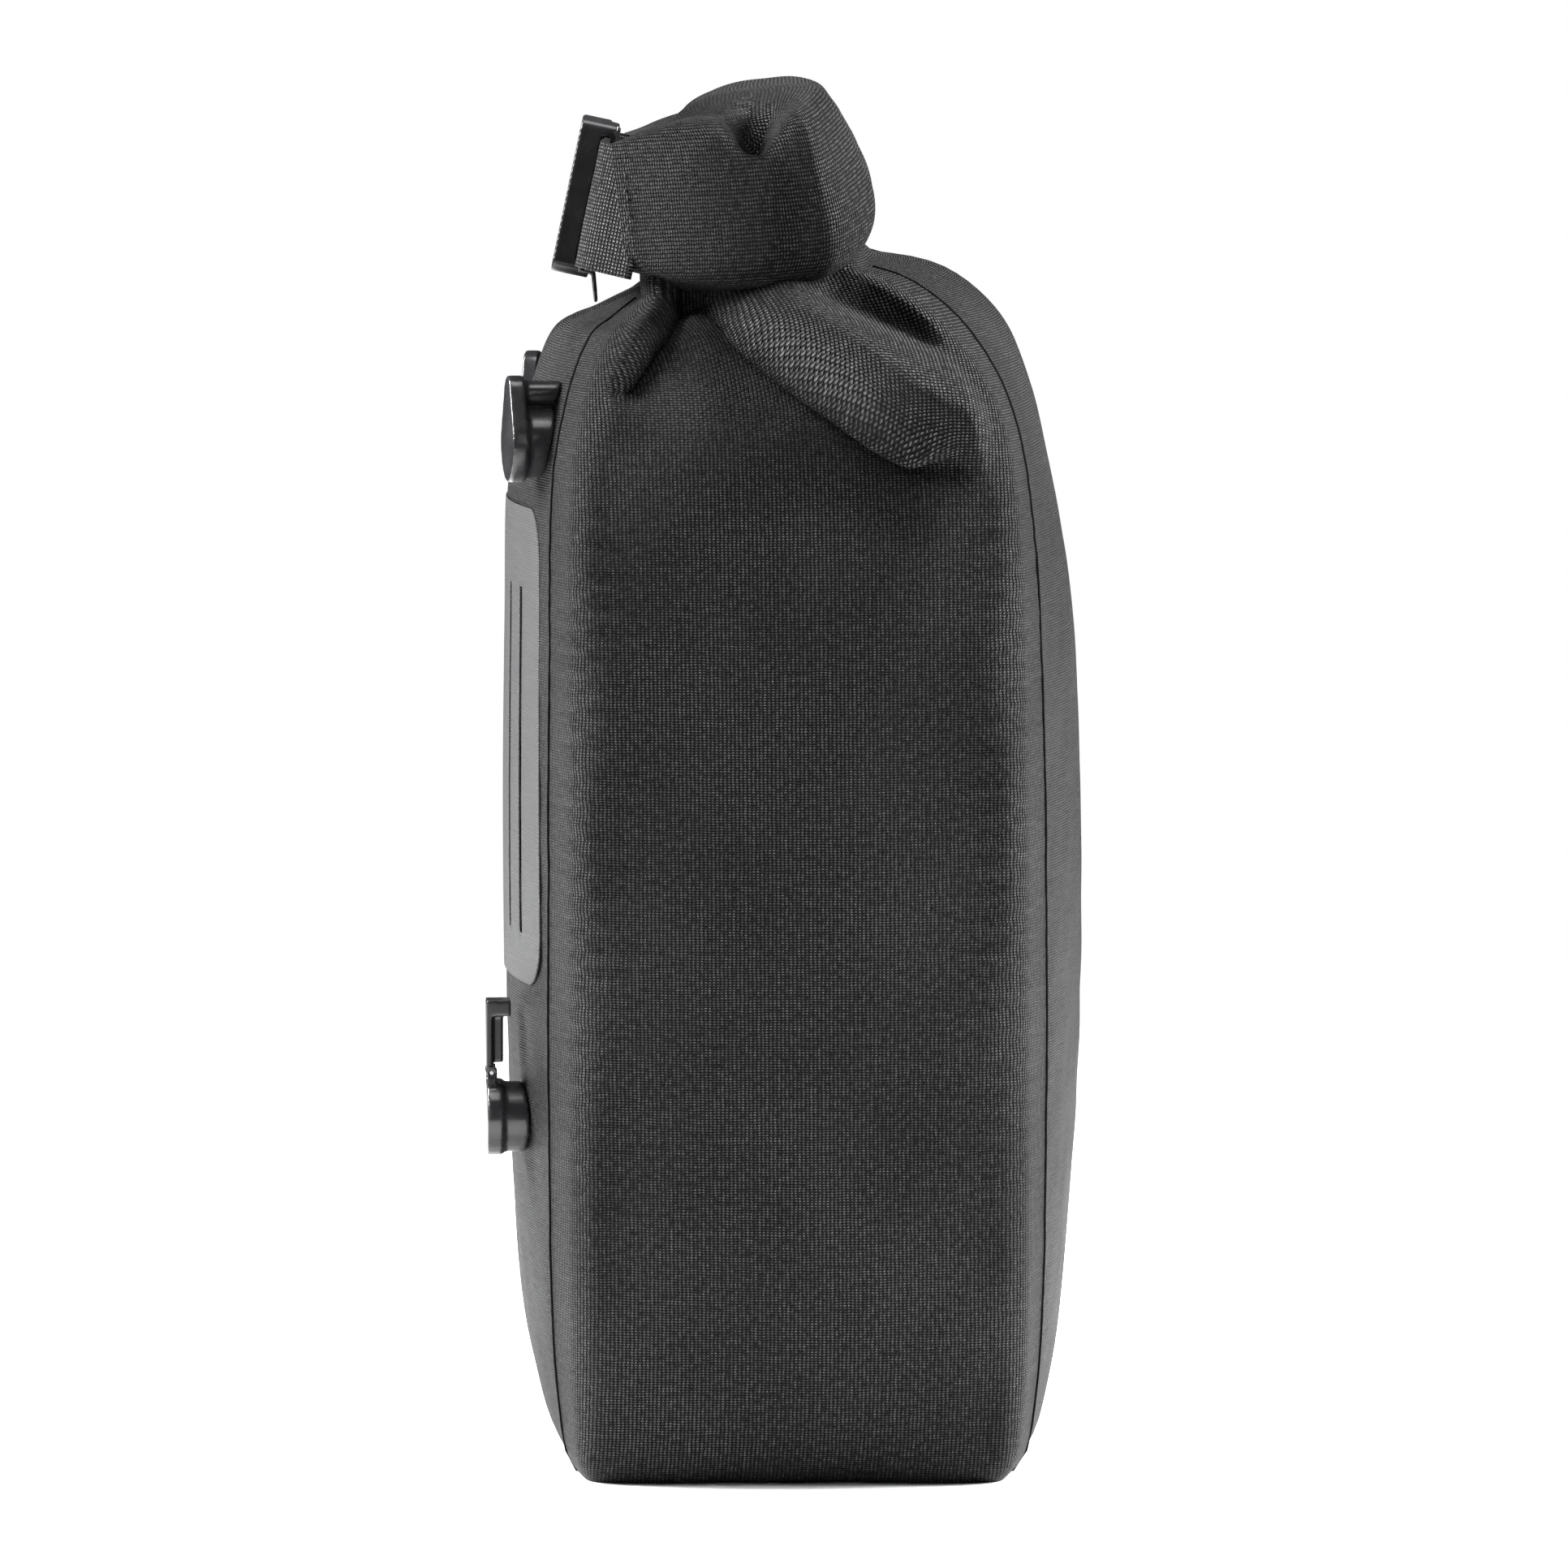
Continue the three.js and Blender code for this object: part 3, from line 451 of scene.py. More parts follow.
def plastic_material(name, look):
    """Moulded nylon: near black, with fine grain in its bump and faint wear in its roughness."""
    finish = Finish(name)
    spot = finish.spot()
    grain = finish.noise(spot, 2600.0, 2.0).outputs["Fac"]
    wear = finish.noise(spot, 90.0, 4.0).outputs["Fac"]
    lighter = tuple(1.7 * c for c in look.plastic)
    finish.tint(wear, [(0.3, look.plastic), (0.75, lighter)])
    finish.gloss(0.22)
    rough = finish.add("ShaderNodeMapRange")
    rough.inputs["To Min"].default_value = 0.14
    rough.inputs["To Max"].default_value = 0.36
    finish.join(wear, rough.inputs["Value"])
    finish.feed(rough.outputs[0], "Roughness")
    finish.bump(grain, 0.12, 0.0002)
    return finish.material


def print_material(name, look, across, along):
    """Rubbery print on woven cloth: smooth grey of uneven tone, with painted highlight faintly lightening the
    weave's crowns.
    """
    finish = Finish(name)
    grain = finish.grain()
    height = woven(finish, grain, across, along)
    cloud = finish.noise(grain, 60.0, 4.0).outputs["Fac"]
    # About a third of the level follows the weave's height, as painted highlight on its crowns; the rest is
    # uneven print tone.
    level = finish.step("ADD", finish.step("MULTIPLY", height, 0.35), finish.step("MULTIPLY", cloud, 0.65))
    lighter = tuple(1.7 * c for c in look.patch)
    finish.tint(level, [(0.2, look.patch), (0.75, lighter)])
    finish.gloss(0.48)
    finish.bump(height, 0.7, 0.0006)
    return finish.material


def steel_material(name):
    """Zinc-plated steel with fine brushing."""
    finish = Finish(name)
    spot = finish.spot()
    stretch = finish.add("ShaderNodeMapping")
    stretch.inputs["Scale"].default_value = (1, 1, 12)
    finish.join(spot, stretch.inputs["Vector"])
    marks = finish.noise(stretch.outputs[0], 900.0, 3.0).outputs["Fac"]
    finish.tint(marks, [(0.3, (0.32, 0.32, 0.33)), (0.7, (0.52, 0.52, 0.53))])
    finish.shader.inputs["Metallic"].default_value = 1.0
    finish.gloss(0.35)
    finish.bump(marks, 0.1, 0.0002)
    return finish.material


def sheet_plastic_material(name, colour):
    """Extruded board or slat: matt dark plastic with a faint pebble grain."""
    finish = Finish(name)
    grain = finish.noise(finish.spot(), 1400.0, 3.0).outputs["Fac"]
    lighter = tuple(1.6 * c for c in colour)
    finish.tint(grain, [(0.3, colour), (0.8, lighter)])
    finish.gloss(0.6)
    finish.bump(grain, 0.3, 0.0003)
    return finish.material


def painted_seam_shade_material(name):
    """Painted shade for the laps' cut edges: matt black, with a faint unevenness in its tone."""
    finish = Finish(name)
    uneven_shade = finish.noise(finish.spot(), 300.0, 3.0).outputs["Fac"]
    # Near-black colour: painted shade for the dark line along the laps' cut edges.
    finish.tint(uneven_shade, [(0.3, (0.001, 0.001, 0.001)), (0.7, (0.003, 0.003, 0.003))])
    finish.gloss(0.85, specular=0.05)
    return finish.material


def floor_material(colour, clear, gone):
    """Plain pale paper that thins out to nothing between two distances from the bag."""
    finish = Finish("pale_floor")
    finish.shader.inputs["Base Color"].default_value = (*colour, 1)
    finish.gloss(0.9, specular=0.0)
    spot = finish.spot()
    away = finish.add("ShaderNodeVectorMath", operation="LENGTH")
    finish.join(spot, away.inputs[0])
    fade = finish.add("ShaderNodeMapRange", interpolation_type="SMOOTHSTEP")
    fade.inputs["From Min"].default_value = clear
    fade.inputs["From Max"].default_value = gone
    finish.join(away.outputs["Value"], fade.inputs["Value"])
    mix = finish.add("ShaderNodeMixShader")
    finish.join(fade.outputs[0], mix.inputs[0])
    finish.join(finish.shader.outputs[0], mix.inputs[1])
    finish.join(finish.add("ShaderNodeBsdfTransparent").outputs[0], mix.inputs[2])
    finish.join(mix.outputs[0], finish.nodes["Material Output"].inputs["Surface"])
    return finish.material


def kept(name, make, *args):
    """The material of that name, made once and shared by the pieces that wear it."""
    return bpy.data.materials.get(name) or make(name, *args)


def shell_cloth():
    """The bag's own cloth."""
    size, look = bpy.context.scene.pannier_sizes, bpy.context.scene.pannier_look
    return kept("woven_shell", cloth_material, look, size.yarn_across, size.yarn_along)


def black_plastic():
    """The plastic of every moulded fitting."""
    return kept("black_nylon", plastic_material, bpy.context.scene.pannier_look)


# ---------------------------------------------------------------- the bag's cloth
def wall(side, s, v):
    """A wall of the bag at station place v, with s from -1 to 1 along it: a parabola of the station's
    bulge over the straight line between two seams, in plan, at the station's height."""
    z, rear, front, half, back, fore, flank, tilt = np.moveaxis(spline(STATIONS, v), -1, 0)
    swell = 1 - s * s
    if side == "rear":
        x, y = rear - back * swell, s * half
    elif side == "front":
        x, y = front + fore * swell, s * half
    else:
        x = (rear + front) / 2 + s * (front - rear) / 2
        y = (half + flank * swell) * (-1 if side == "left" else 1)
    return np.stack([x, y, z + tilt * x], axis=-1)


def rising_places(coarse, fine, change, top=363.0):
    """Station places at coarse height steps below a height and fine ones above it."""
    low = np.arange(0, change, coarse)
    high = np.linspace(change, top, int((top - change) / fine) + 1)
    return even_places(STATIONS, 0, np.concatenate([low, high]))


def panel_points(side, reach, columns, places):
    """A wide panel as a grid, with slight unevenness along its normal."""
    s = np.linspace(-reach, reach, columns)[None, :]
    points = wall(side, s + 0 * places[:, None], places[:, None] + 0 * s)
    y, z = points[..., 1], points[..., 2]
    uneven = 0.5 * ripple(y, z, 70, 3) + 0.25 * ripple(y, z, 24, 5)
    ease = smooth_step(z, 0, 30) * (1 - smooth_step(np.abs(s), 0.7, 0.8))
    return points + grid_normals(points) * (uneven * ease)[..., None]


def gusset_points(sign):
    """A side gusset with its two lapped seams: across the side wall, round both corners and a little
    way over the wide panels, then creased where the rolled mouth folds it in."""
    size = bpy.context.scene.pannier_sizes
    places = rising_places(2.4, 0.9, 285.0)[:, None]
    lap = size.seam_lap / MM
    half = spline(STATIONS, places[:, 0])[:, 3:4]
    wave = 1 + 0.03 * ripple(0 * places, 180 * places, 40, 31)
    over = np.linspace(lap, 1.2, 15)[None, :] * wave
    share = sign * (1 - over / half)
    rear = wall("rear", share, places + 0 * over)
    front = wall("front", share, places + 0 * over)[:, ::-1]
    rear[..., 0] -= size.lap_proud / MM
    front[..., 0] += size.lap_proud / MM
    s = np.linspace(-0.985, 0.985, 92)[None, :]
    middle = wall("left" if sign < 0 else "right", s + 0 * places, places + 0 * s)
    flat = relaxed(np.concatenate([rear, middle, front], axis=1), 7)
    column = np.arange(flat.shape[1])
    edge = over.shape[1]
    face = smooth_step(np.minimum(column, column[::-1]), edge, edge + 6)[None, :]
    lip = np.linspace(0.15, 1, LIP_ROWS)[:, None, None] * np.array([-0.5, -sign * 4.0, 9.0])
    return [np.concatenate([grid, grid[-1] + lip]) for grid in (flat, creased(flat, sign, face))]


# Lines of the folds over a gusset, as (X, height) in millimetres.
FRONT_CREASE = [(-31, 363), (-18, 352), (8.2, 331.5), (32.1, 314.5), (50, 309)]
FRONT_PUFF = [(-16, 364), (14, 346), (36, 331), (57, 321)]
FRONT_HOLLOW = [(6, 362), (22, 355), (39, 350), (56, 343)]
REAR_CREASE = [(-31, 364), (-36, 350), (-45, 335), (-51, 327)]
REAR_PUFF = [(-40, 366), (-47, 350), (-55, 335), (-58, 328)]


def creased(points, sign, face):
    """Folds as pushes out of and along the gusset: each puff is a bell over its line, each crease a
    narrow bell inwards, and cloth above a crease slides down over it. face is 1 off the seams."""
    x, z = points[..., 0], points[..., 2]
    out = (1.3 * ripple(x, z, 95, 14) + 0.6 * ripple(x, z, 46, 8) + 0.15 * ripple(x, z, 15, 9)) * face
    distance, share, _ = along_path(x, z, FRONT_PUFF)
    out += 11.5 * bell(distance, 10.5) * smooth_step(share, 0.0, 0.45) * face
    distance, share, side = along_path(x, z, FRONT_CREASE)
    ends = smooth_step(share, 0.0, 0.3) * (1 - smooth_step(share, 0.88, 1.0))
    out -= 8.5 * bell(distance, 3.8) * (0.35 + 0.65 * ends) * face
    out -= np.where(side < 0, 6.5 * (bell(distance, 17.0) - bell(distance, 3.0)), 0) * ends * face
    down = 6.4 * np.where(side > 0, bell(distance - 3.4, 3.4), 0) * ends * face
    distance, share, _ = along_path(x, z, FRONT_HOLLOW)
    stretch = smooth_step(share, 0.0, 0.2) * (1 - smooth_step(share, 0.7, 1.0))
    out -= 5.5 * bell(distance, 6.0) * stretch * face
    distance, share, _ = along_path(x, z, REAR_PUFF)
    out += 3.6 * bell(distance, 10.0) * (1 - 0.4 * share) * face
    distance, share, side = along_path(x, z, REAR_CREASE)
    fade = 1 - smooth_step(share, 0.8, 1.0)
    out -= 9.5 * bell(distance, 3.6) * fade * face
    out -= np.where(side > 0, 3.5 * (bell(distance, 12.0) - bell(distance, 3.0)), 0) * fade * face
    slide = 3.0 * np.where(side < 0, bell(distance - 3.0, 3.2), 0) * fade * face
    edge = np.minimum(np.abs(x + 56), np.abs(x - 64))
    pucker = np.sin(2 * math.pi * z / 8.7 + 2.5 * ripple(x, z, 60, 12))
    out += 0.5 * pucker * bell(edge, 9.0) * smooth_step(z, 60, 130) * (1 - smooth_step(z, 270, 310))
    outward = grid_normals(points)
    outward = outward * np.sign(np.sum(sign * outward[..., 1]))
    moved = points + outward * out[..., None]
    moved[..., 0] += slide - 0.45 * down
    moved[..., 2] -= down + 0.4 * slide
    return moved


def facing(points, outside):
    """The grid, with its rows' order turned round if its faces don't point the way of outside."""
    mean = np.sum(grid_normals(points) * outside)
    return points if mean > 0 else points[:, ::-1]


class PANNIER_OT_panels(bpy.types.Operator):
    """Builds the front, rear and bottom cloth"""

    bl_idname = "pannier.panels"
    bl_label = "Wide Panels"

    def execute(self, context):
        size = context.scene.pannier_sizes
        cloth = shell_cloth()
        places = rising_places(3.2, 1.6, 290.0)
        rear = grid_mesh("rear_cloth", facing(panel_points("rear", 0.9, 120, places), (-1, 0, 0)))
        rear_cloth = place("rear_cloth", rear, cloth, "bag", "coated_fabric")
        front = panel_points("front", 0.88, 120, places)
        lip = front[-1] + np.linspace(0.15, 1, 6)[:, None, None] * np.array([-9.0, 0, 8.0])
        front = grid_mesh("front_cloth", facing(np.concatenate([front, lip]), (1, 0, 0)))
        front_cloth = place("front_cloth", front, cloth, None, "coated_fabric")
        for piece, node in ((rear_cloth, "rear_panel"), (front_cloth, "front_panel")):
            thicken(piece, size.cloth_thickness)
            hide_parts(node)
        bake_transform(front_cloth)
        bottom = grid_mesh("bottom_cloth", bottom_points())
        bottom_cloth = place("bottom_cloth", bottom, cloth, "bag", "coated_fabric")
        thicken(bottom_cloth, size.cloth_thickness)
        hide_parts("bottom_panel")
        return {"FINISHED"}


def bottom_points():
    """The bottom: rings of a rounded plan from its middle out to the walls, turned up at the rim."""
    angle = np.linspace(0, 2 * math.pi, 161)[None, :]
    share = np.concatenate([np.linspace(0.02, 0.97, 24), [0.985, 0.996, 1.0, 1.0]])[:, None]
    height = np.concatenate([np.full(24, 0.6), [0.8, 1.6, 3.0, 5.0]])[:, None]
    c, s = np.cos(angle), np.sin(angle)
    swell = 10.5 * (1 - np.abs(signed_power(s, 0.25)) ** 2)
    x = 3.25 + share * (60.2 + swell * 0.98) * signed_power(c, 0.25)
    y = share * 106.6 * signed_power(s, 0.25)
    points = np.stack([x, y, height + 0 * x], axis=2)
    return points[:, ::-1] if np.sum(grid_normals(points)[..., 2]) > 0 else points


class PANNIER_OT_gussets(bpy.types.Operator):
    """Builds the two side gussets with their lapped seams and folds"""

    bl_idname = "pannier.gussets"
    bl_label = "Side Gussets"

    def execute(self, context):
        size = context.scene.pannier_sizes
        for name, sign in (("left", -1), ("right", 1)):
            flat, points = gusset_points(sign)
            if np.sum(grid_normals(points)[..., 1]) * sign < 0:
                flat, points = flat[:, ::-1], points[:, ::-1]
            mesh = grid_mesh(f"gusset_cloth_{name}", points, cut=flat)
            made = place(f"gusset_cloth_{name}", mesh, shell_cloth(), "bag", "coated_fabric")
            thicken(made, size.cloth_thickness)
            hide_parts(f"side_gusset_{name}")
            self.painted_seam_shade_lines(name, points[:-LIP_ROWS])
        return {"FINISHED"}

    def painted_seam_shade_lines(self, name, points):
        """A dark bead along each cut edge of the laps: painted shade where the lap's edge shades the cloth
        beside it.
        """
        # The beads' near-black finish paints the shade along the laps' cut edges.
        sealant = kept("sealant", painted_seam_shade_material)
        for line in (points[::3, 0], points[::3, -1]):
            bead = f"seam_bead_{name}_" + ("front" if line[0, 0] > 0 else "rear")
            mesh = grid_mesh(bead, bead_points(line, BEAD_RADIUS), around=True, capped=True)
            place(bead, mesh, sealant, "bag", "coated_fabric")


def bead_points(line, radius):
    """A round bead along a line: a circle of the bead's radius across the line at each of its points."""
    along = np.gradient(line, axis=0)
    along /= np.linalg.norm(along, axis=1, keepdims=True)
    aside = np.cross(along, (0.0, 1.0, 0.0))
    aside /= np.linalg.norm(aside, axis=1, keepdims=True)
    out = np.cross(along, aside)
    angle = np.linspace(0, 2 * math.pi, 8, endpoint=False)[None, :, None]
    return line[:, None] + radius * (np.cos(angle) * aside[:, None] + np.sin(angle) * out[:, None])


# ---------------------------------------------------------------- the rolled mouth
def ring_points(rows, count, tilt, power):
    """Superellipse rings: each starts at its inner edge and spans to an outer edge in plan, and from
    bottom to top. A cosine and a sine, each raised to 2/power with its sign kept, are its two
    directions."""
    outer, inner, top, low = rows[:, 0:2], rows[:, 2:4], rows[:, 4], rows[:, 5]
    angle = np.linspace(-math.pi, math.pi, count, endpoint=False)[None, :]
    c, s = (signed_power(f, 2 / power[:, None]) for f in (np.cos(angle), np.sin(angle)))
    middle = (outer + inner) / 2
    reach = (outer - inner) / 2
    rise = ((top - low) / 2)[:, None]
    x = middle[:, 0:1] + reach[:, 0:1] * c - tilt * rise * s
    y = middle[:, 1:2] + reach[:, 1:2] * c
    z = ((top + low) / 2)[:, None] + rise * s + tilt * reach[:, 0:1] * c
    return np.stack([x, y, z], axis=2)


def roll_points():
    """The rolled mouth as rings from its left end to its right end, softened and dimpled."""
    places = np.concatenate([np.linspace(0, 2, 36), np.linspace(2, len(ROLL_ROWS) - 1, 120)[1:]])
    half = spline(ROLL_ROWS, places)
    other = half[1:][::-1] * np.array([1, -1, 1, -1, 1, 1])
    rows = np.concatenate([other, half])
    power = ROLL_POWER + (WING_POWER - ROLL_POWER) * smooth_step(np.abs(rows[:, 1]), 108, 132)
    points = ring_points(rows, 140, ROLL_TILT, power)
    x, y, z = np.moveaxis(points, -1, 0)
    side = np.abs(y)
    centre = points.mean(axis=1, keepdims=True)
    away = points - centre
    away = away / np.linalg.norm(away, axis=2, keepdims=True)
    out = 0.5 * ripple(x + z, y, 46, 21) + 0.22 * ripple(x - z, y, 17, 22)
    groove, share, _ = along_path(x, z, [(-9, 411), (0, 402), (3, 388), (3, 364)])
    out -= 1.9 * bell(groove, 5.0) * (1 - 0.5 * share) * smooth_step(side, 126, 134)
    saddle, share, _ = along_path(x, z, [(-14, 408), (-26, 398), (-36, 378)])
    out += 1.0 * bell(saddle, 7.0) * (1 - share) * smooth_step(side, 124, 132)
    points = points + away * out[..., None]
    points[..., 0] -= 7.5 * smooth_step(z, 378, 414) * smooth_step(x, 0, 26)
    pit = np.sqrt(((x + 9) / 7.0) ** 2 + ((side - 133) / 8.5) ** 2 + ((z - 411) / 9.0) ** 2)
    hollow = np.exp(-(pit**2))
    points[..., 2] -= 14 * hollow
    points[..., 1] -= np.sign(y) * 7 * hollow
    return points


class PANNIER_OT_roll(bpy.types.Operator):
    """Builds the rolled mouth with its two bent ends"""

    bl_idname = "pannier.roll"
    bl_label = "Rolled Mouth"

    def execute(self, context):
        points = roll_points()
        mesh = grid_mesh("rolled_mouth", points, around=True, capped=True)
        made = place("rolled_mouth", mesh, shell_cloth(), "roll_top", "coated_fabric")
        shape = bmesh.new()
        shape.from_mesh(mesh)
        bmesh.ops.recalc_face_normals(shape, faces=shape.faces)
        shape.to_mesh(mesh)
        shape.free()
        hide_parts("roll_core", "roll_wing_left", "roll_wing_right")
        return {"FINISHED"}


# ---------------------------------------------------------------- webbing and fittings
def leaned(points):
    """Points of the strap's own frame, turned about Y by the strap's lean and moved to its place."""
    x, y, z = np.moveaxis(points, -1, 0)
    c, s = math.cos(STRAP_LEAN), math.sin(STRAP_LEAN)
    return np.stack([STRAP_X + c * x + s * z, y, STRAP_Z - s * x + c * z], axis=-1)


def strap_path(start):
    """A strap's middle line in plan, in its own frame: straight, a bend, then straight into the roll."""
    straight = np.linspace(start, STRAP_BEND, 60)
    turn = np.linspace(0, BEND_TURN, 24)[1:]
    tucked = np.linspace(0, TUCKED_IN, 10)[1:]
    end_x = BEND_RADIUS * (1 - math.cos(BEND_TURN))
    end_y = STRAP_BEND + BEND_RADIUS * math.sin(BEND_TURN)
    x = np.concatenate([0 * straight, BEND_RADIUS * (1 - np.cos(turn)), end_x + tucked * math.sin(BEND_TURN)])
    bend = STRAP_BEND + BEND_RADIUS * np.sin(turn)
    y = np.concatenate([straight, bend, end_y + tucked * math.cos(BEND_TURN)])
    return x, y


def strap_points(sign, start):
    """A strap as a grid: its path in plan, with straight lines of its width across it."""
    x, y = strap_path(start)
    z = np.linspace(-STRAP_HALF, STRAP_HALF, 25)[None, :]
    sway = 0.25 * ripple(y[:, None], z, 30, 41)
    return leaned(np.stack([x[:, None] + sway, sign * y[:, None] + 0 * z, z + 0 * x[:, None]], axis=2))


class PANNIER_OT_straps(bpy.types.Operator):
    """Builds the two closing straps and the stitching that holds them to the roll"""

    bl_idname = "pannier.straps"
    bl_label = "Closing Straps"

    def execute(self, context):
        size, look = context.scene.pannier_sizes, context.scene.pannier_look
        tape = kept("woven_tape", cloth_material, look, size.rib_across, size.rib_along, look.webbing_tone)
        for name, sign in (("left", -1), ("right", 1)):
            points = facing(strap_points(sign, STRAP_STARTS[name]), (-1, 0, 0))
            mesh = grid_mesh(f"webbing_{name}", points)
            made = place(f"webbing_{name}", mesh, tape, "roll_top", "webbing")
            thicken(made, size.webbing_thickness)
            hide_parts(f"closure_strap_{name}")
            self.stitches(name, sign, look)
        return {"FINISHED"}

    def stitches(self, name, sign, look):
        """Short stitches in a slight zig-zag down the sewn edge of the roll's end."""
        z = np.linspace(*STITCH_HEIGHTS, STITCHES)
        x = STITCH_X + 0.35 * np.cos(np.pi * np.arange(STITCHES))
        edge = spline(ROLL_ROWS, np.full(STITCHES, SEWN_PLACE))[:, 1] + 0.75
        along = np.stack([0 * z + 0.05, 0 * z, 0 * z + 1.0], axis=1)
        spots = np.stack([x, sign * edge, z], axis=1)
        thread = kept("thread", sheet_plastic_material, look.thread)
        mesh = stitch_mesh(f"sewing_{name}", spots, along, STITCH_LENGTH, STITCH_RADIUS)
        place(f"sewing_{name}", mesh, thread, "roll_top", "webbing")


def stitch_mesh(name, spots, along, length, radius):
    """Many small spindles in one mesh: six-sided rings whose radius follows half a sine wave along
    each stitch, repeated at every spot."""
    run = np.linspace(0, 1, 7)
    angle = np.linspace(0, 2 * math.pi, 6, endpoint=False)
    along = along / np.linalg.norm(along, axis=1, keepdims=True)
    aside = np.cross(along, (0.0, 1.0, 0.0))
    aside = aside / np.linalg.norm(aside, axis=1, keepdims=True)
    out = np.cross(aside, along)
    girth = radius * np.sqrt(np.clip(np.sin(math.pi * np.clip(run, 0.04, 0.96)), 0, 1))
    across = np.cos(angle)[:, None] * aside[:, None, None, :]
    ring = girth[:, None, None] * (across + np.sin(angle)[:, None] * out[:, None, None, :])
    rod = ring + along[:, None, None, :] * ((run - 0.5) * length)[:, None, None] + spots[:, None, None, :]
    count, rows, sides = rod.shape[:3]
    n, r, c = np.meshgrid(np.arange(count), np.arange(rows - 1), np.arange(sides), indexing="ij")
    base = n * rows * sides
    quads = [base + r * sides + c, base + r * sides + (c + 1) % sides,
             base + (r + 1) * sides + (c + 1) % sides, base + (r + 1) * sides + c]
    faces = np.stack(quads, axis=-1).reshape(-1, 4).tolist()
    starts = np.arange(count)[:, None] * rows * sides + np.arange(sides)
    faces += starts[:, ::-1].tolist() + (starts + (rows - 1) * sides).tolist()
    mesh = bpy.data.meshes.new(name)
    mesh.from_pydata((rod.reshape(-1, 3) * MM).tolist(), [], faces)
    mesh.shade_smooth()
    return mesh


def patch_points(size):
    """The printed patch: a rounded oblong on the rear wall, standing a little proud of it."""
    rounding = np.geomspace(0.05, PATCH_CORNER, 14)
    straight = np.linspace(PATCH_LOW + PATCH_CORNER, PATCH_HIGH - PATCH_CORNER, 50)[1:-1]
    z = np.concatenate([PATCH_LOW + rounding, straight, PATCH_HIGH - rounding[::-1]])
    inset = np.clip(np.minimum(z - PATCH_LOW, PATCH_HIGH - z), 0, PATCH_CORNER)
    places = even_places(STATIONS, 0, z)
    half = spline(STATIONS, places)[:, 3]
    arc = np.sqrt(PATCH_CORNER**2 - (PATCH_CORNER - inset) ** 2)
    reach = PATCH_REACH - (PATCH_CORNER - arc) / half
    s = np.linspace(-1, 1, 121)[None, :] * reach[:, None]
    points = wall("rear", s, places[:, None] + 0 * s)
    points[..., 0] -= size.patch_proud / MM
    return points, np.abs(s), z


class PANNIER_OT_patch(bpy.types.Operator):
    """Builds the printed wear patch with its narrow slits"""

    bl_idname = "pannier.patch"
    bl_label = "Wear Patch"

    def execute(self, context):
        size, look = context.scene.pannier_sizes, context.scene.pannier_look
        points, across, z = patch_points(size)
        tall = (z > SLIT_HEIGHTS[0]) & (z < SLIT_HEIGHTS[1])
        slit = tall[:, None] & np.any([np.abs(across - spot) < SLIT_HALF for spot in SLIT_PLACES], axis=0)
        keep = ~slit[:-1, :-1]
        mesh = grid_mesh("wear_patch", points, keep=keep)
        if np.sum(grid_normals(points)[..., 0]) > 0:
            mesh.flip_normals()
        rubber = kept("wear_print", print_material, look, size.yarn_across, size.yarn_along)
        made = place("wear_patch", mesh, rubber, "bag", "rubber_print")
        thicken(made, size.patch_proud)
        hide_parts("rear_wear_patch")
        return {"FINISHED"}


def slider_rims():
    """The rounded rim on each side of the strap's slider: a circle carried round a rounded oblong."""
    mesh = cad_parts["strap_slider"].data
    spots = np.empty(3 * len(mesh.vertices))
    mesh.vertices.foreach_get("co", spots)
    x, y, z = spots.reshape(-1, 3).T / MM - np.array([[STRAP_X], [0], [STRAP_Z]])
    c, s = math.cos(STRAP_LEAN), math.sin(STRAP_LEAN)
    depth, height = c * x - s * z, s * x + c * z
    turn = np.linspace(0, 2 * math.pi, 97)
    low, high = depth.min() + RIM, depth.max() - RIM
    half = (height.max() - height.min()) / 2 - RIM
    across = signed_power(np.cos(turn), RIM_ROUND)
    up = signed_power(np.sin(turn), RIM_ROUND)
    path = np.stack([(low + high) / 2 + (high - low) / 2 * across, 0 * turn, half * up], axis=1)
    aside = np.stack([np.cos(turn), 0 * turn, np.sin(turn)], axis=1)
    angle = np.linspace(0, 2 * math.pi, 12, endpoint=False)[None, :, None]
    ring = path[:, None] + RIM * (np.cos(angle) * aside[:, None] + np.sin(angle) * np.array([0.0, 1.0, 0.0]))
    return [leaned(ring + np.array([0.0, edge, 0.0])) for edge in (y.min(), y.max())]


class PANNIER_OT_fittings(bpy.types.Operator):
    """Gives the buckle, the slider, the tag, the pegs and the lever soft moulded edges"""

    bl_idname = "pannier.fittings"
    bl_label = "Moulded Fittings"

    def execute(self, context):
        fine = context.scene.pannier_sizes.mould_grid
        plastic = black_plastic()
        for node in ("upper_peg_left", "upper_peg_right", "lower_peg"):
            moulded_copy(node, "bag", plastic, fine, 26, 0.4)
        moulded_copy("lock_lever", "lock_lever", plastic, fine, 8, 0.5)
        moulded_copy("strap_slider", "roll_top", plastic, fine, 16, 0.4)
        for node in ("buckle_socket", "strap_tag"):
            moulded_copy(node, "roll_top", plastic, fine, 7, 0.4)
        moulded_copy("buckle_plug", "buckle_plug", plastic, fine, 7, 0.4)
        for side, points in zip(("near", "far"), slider_rims()):
            name = f"slider_rim_{side}"
            place(name, grid_mesh(name, points, around=True), plastic, "roll_top", "moulded_plastic")
        return {"FINISHED"}


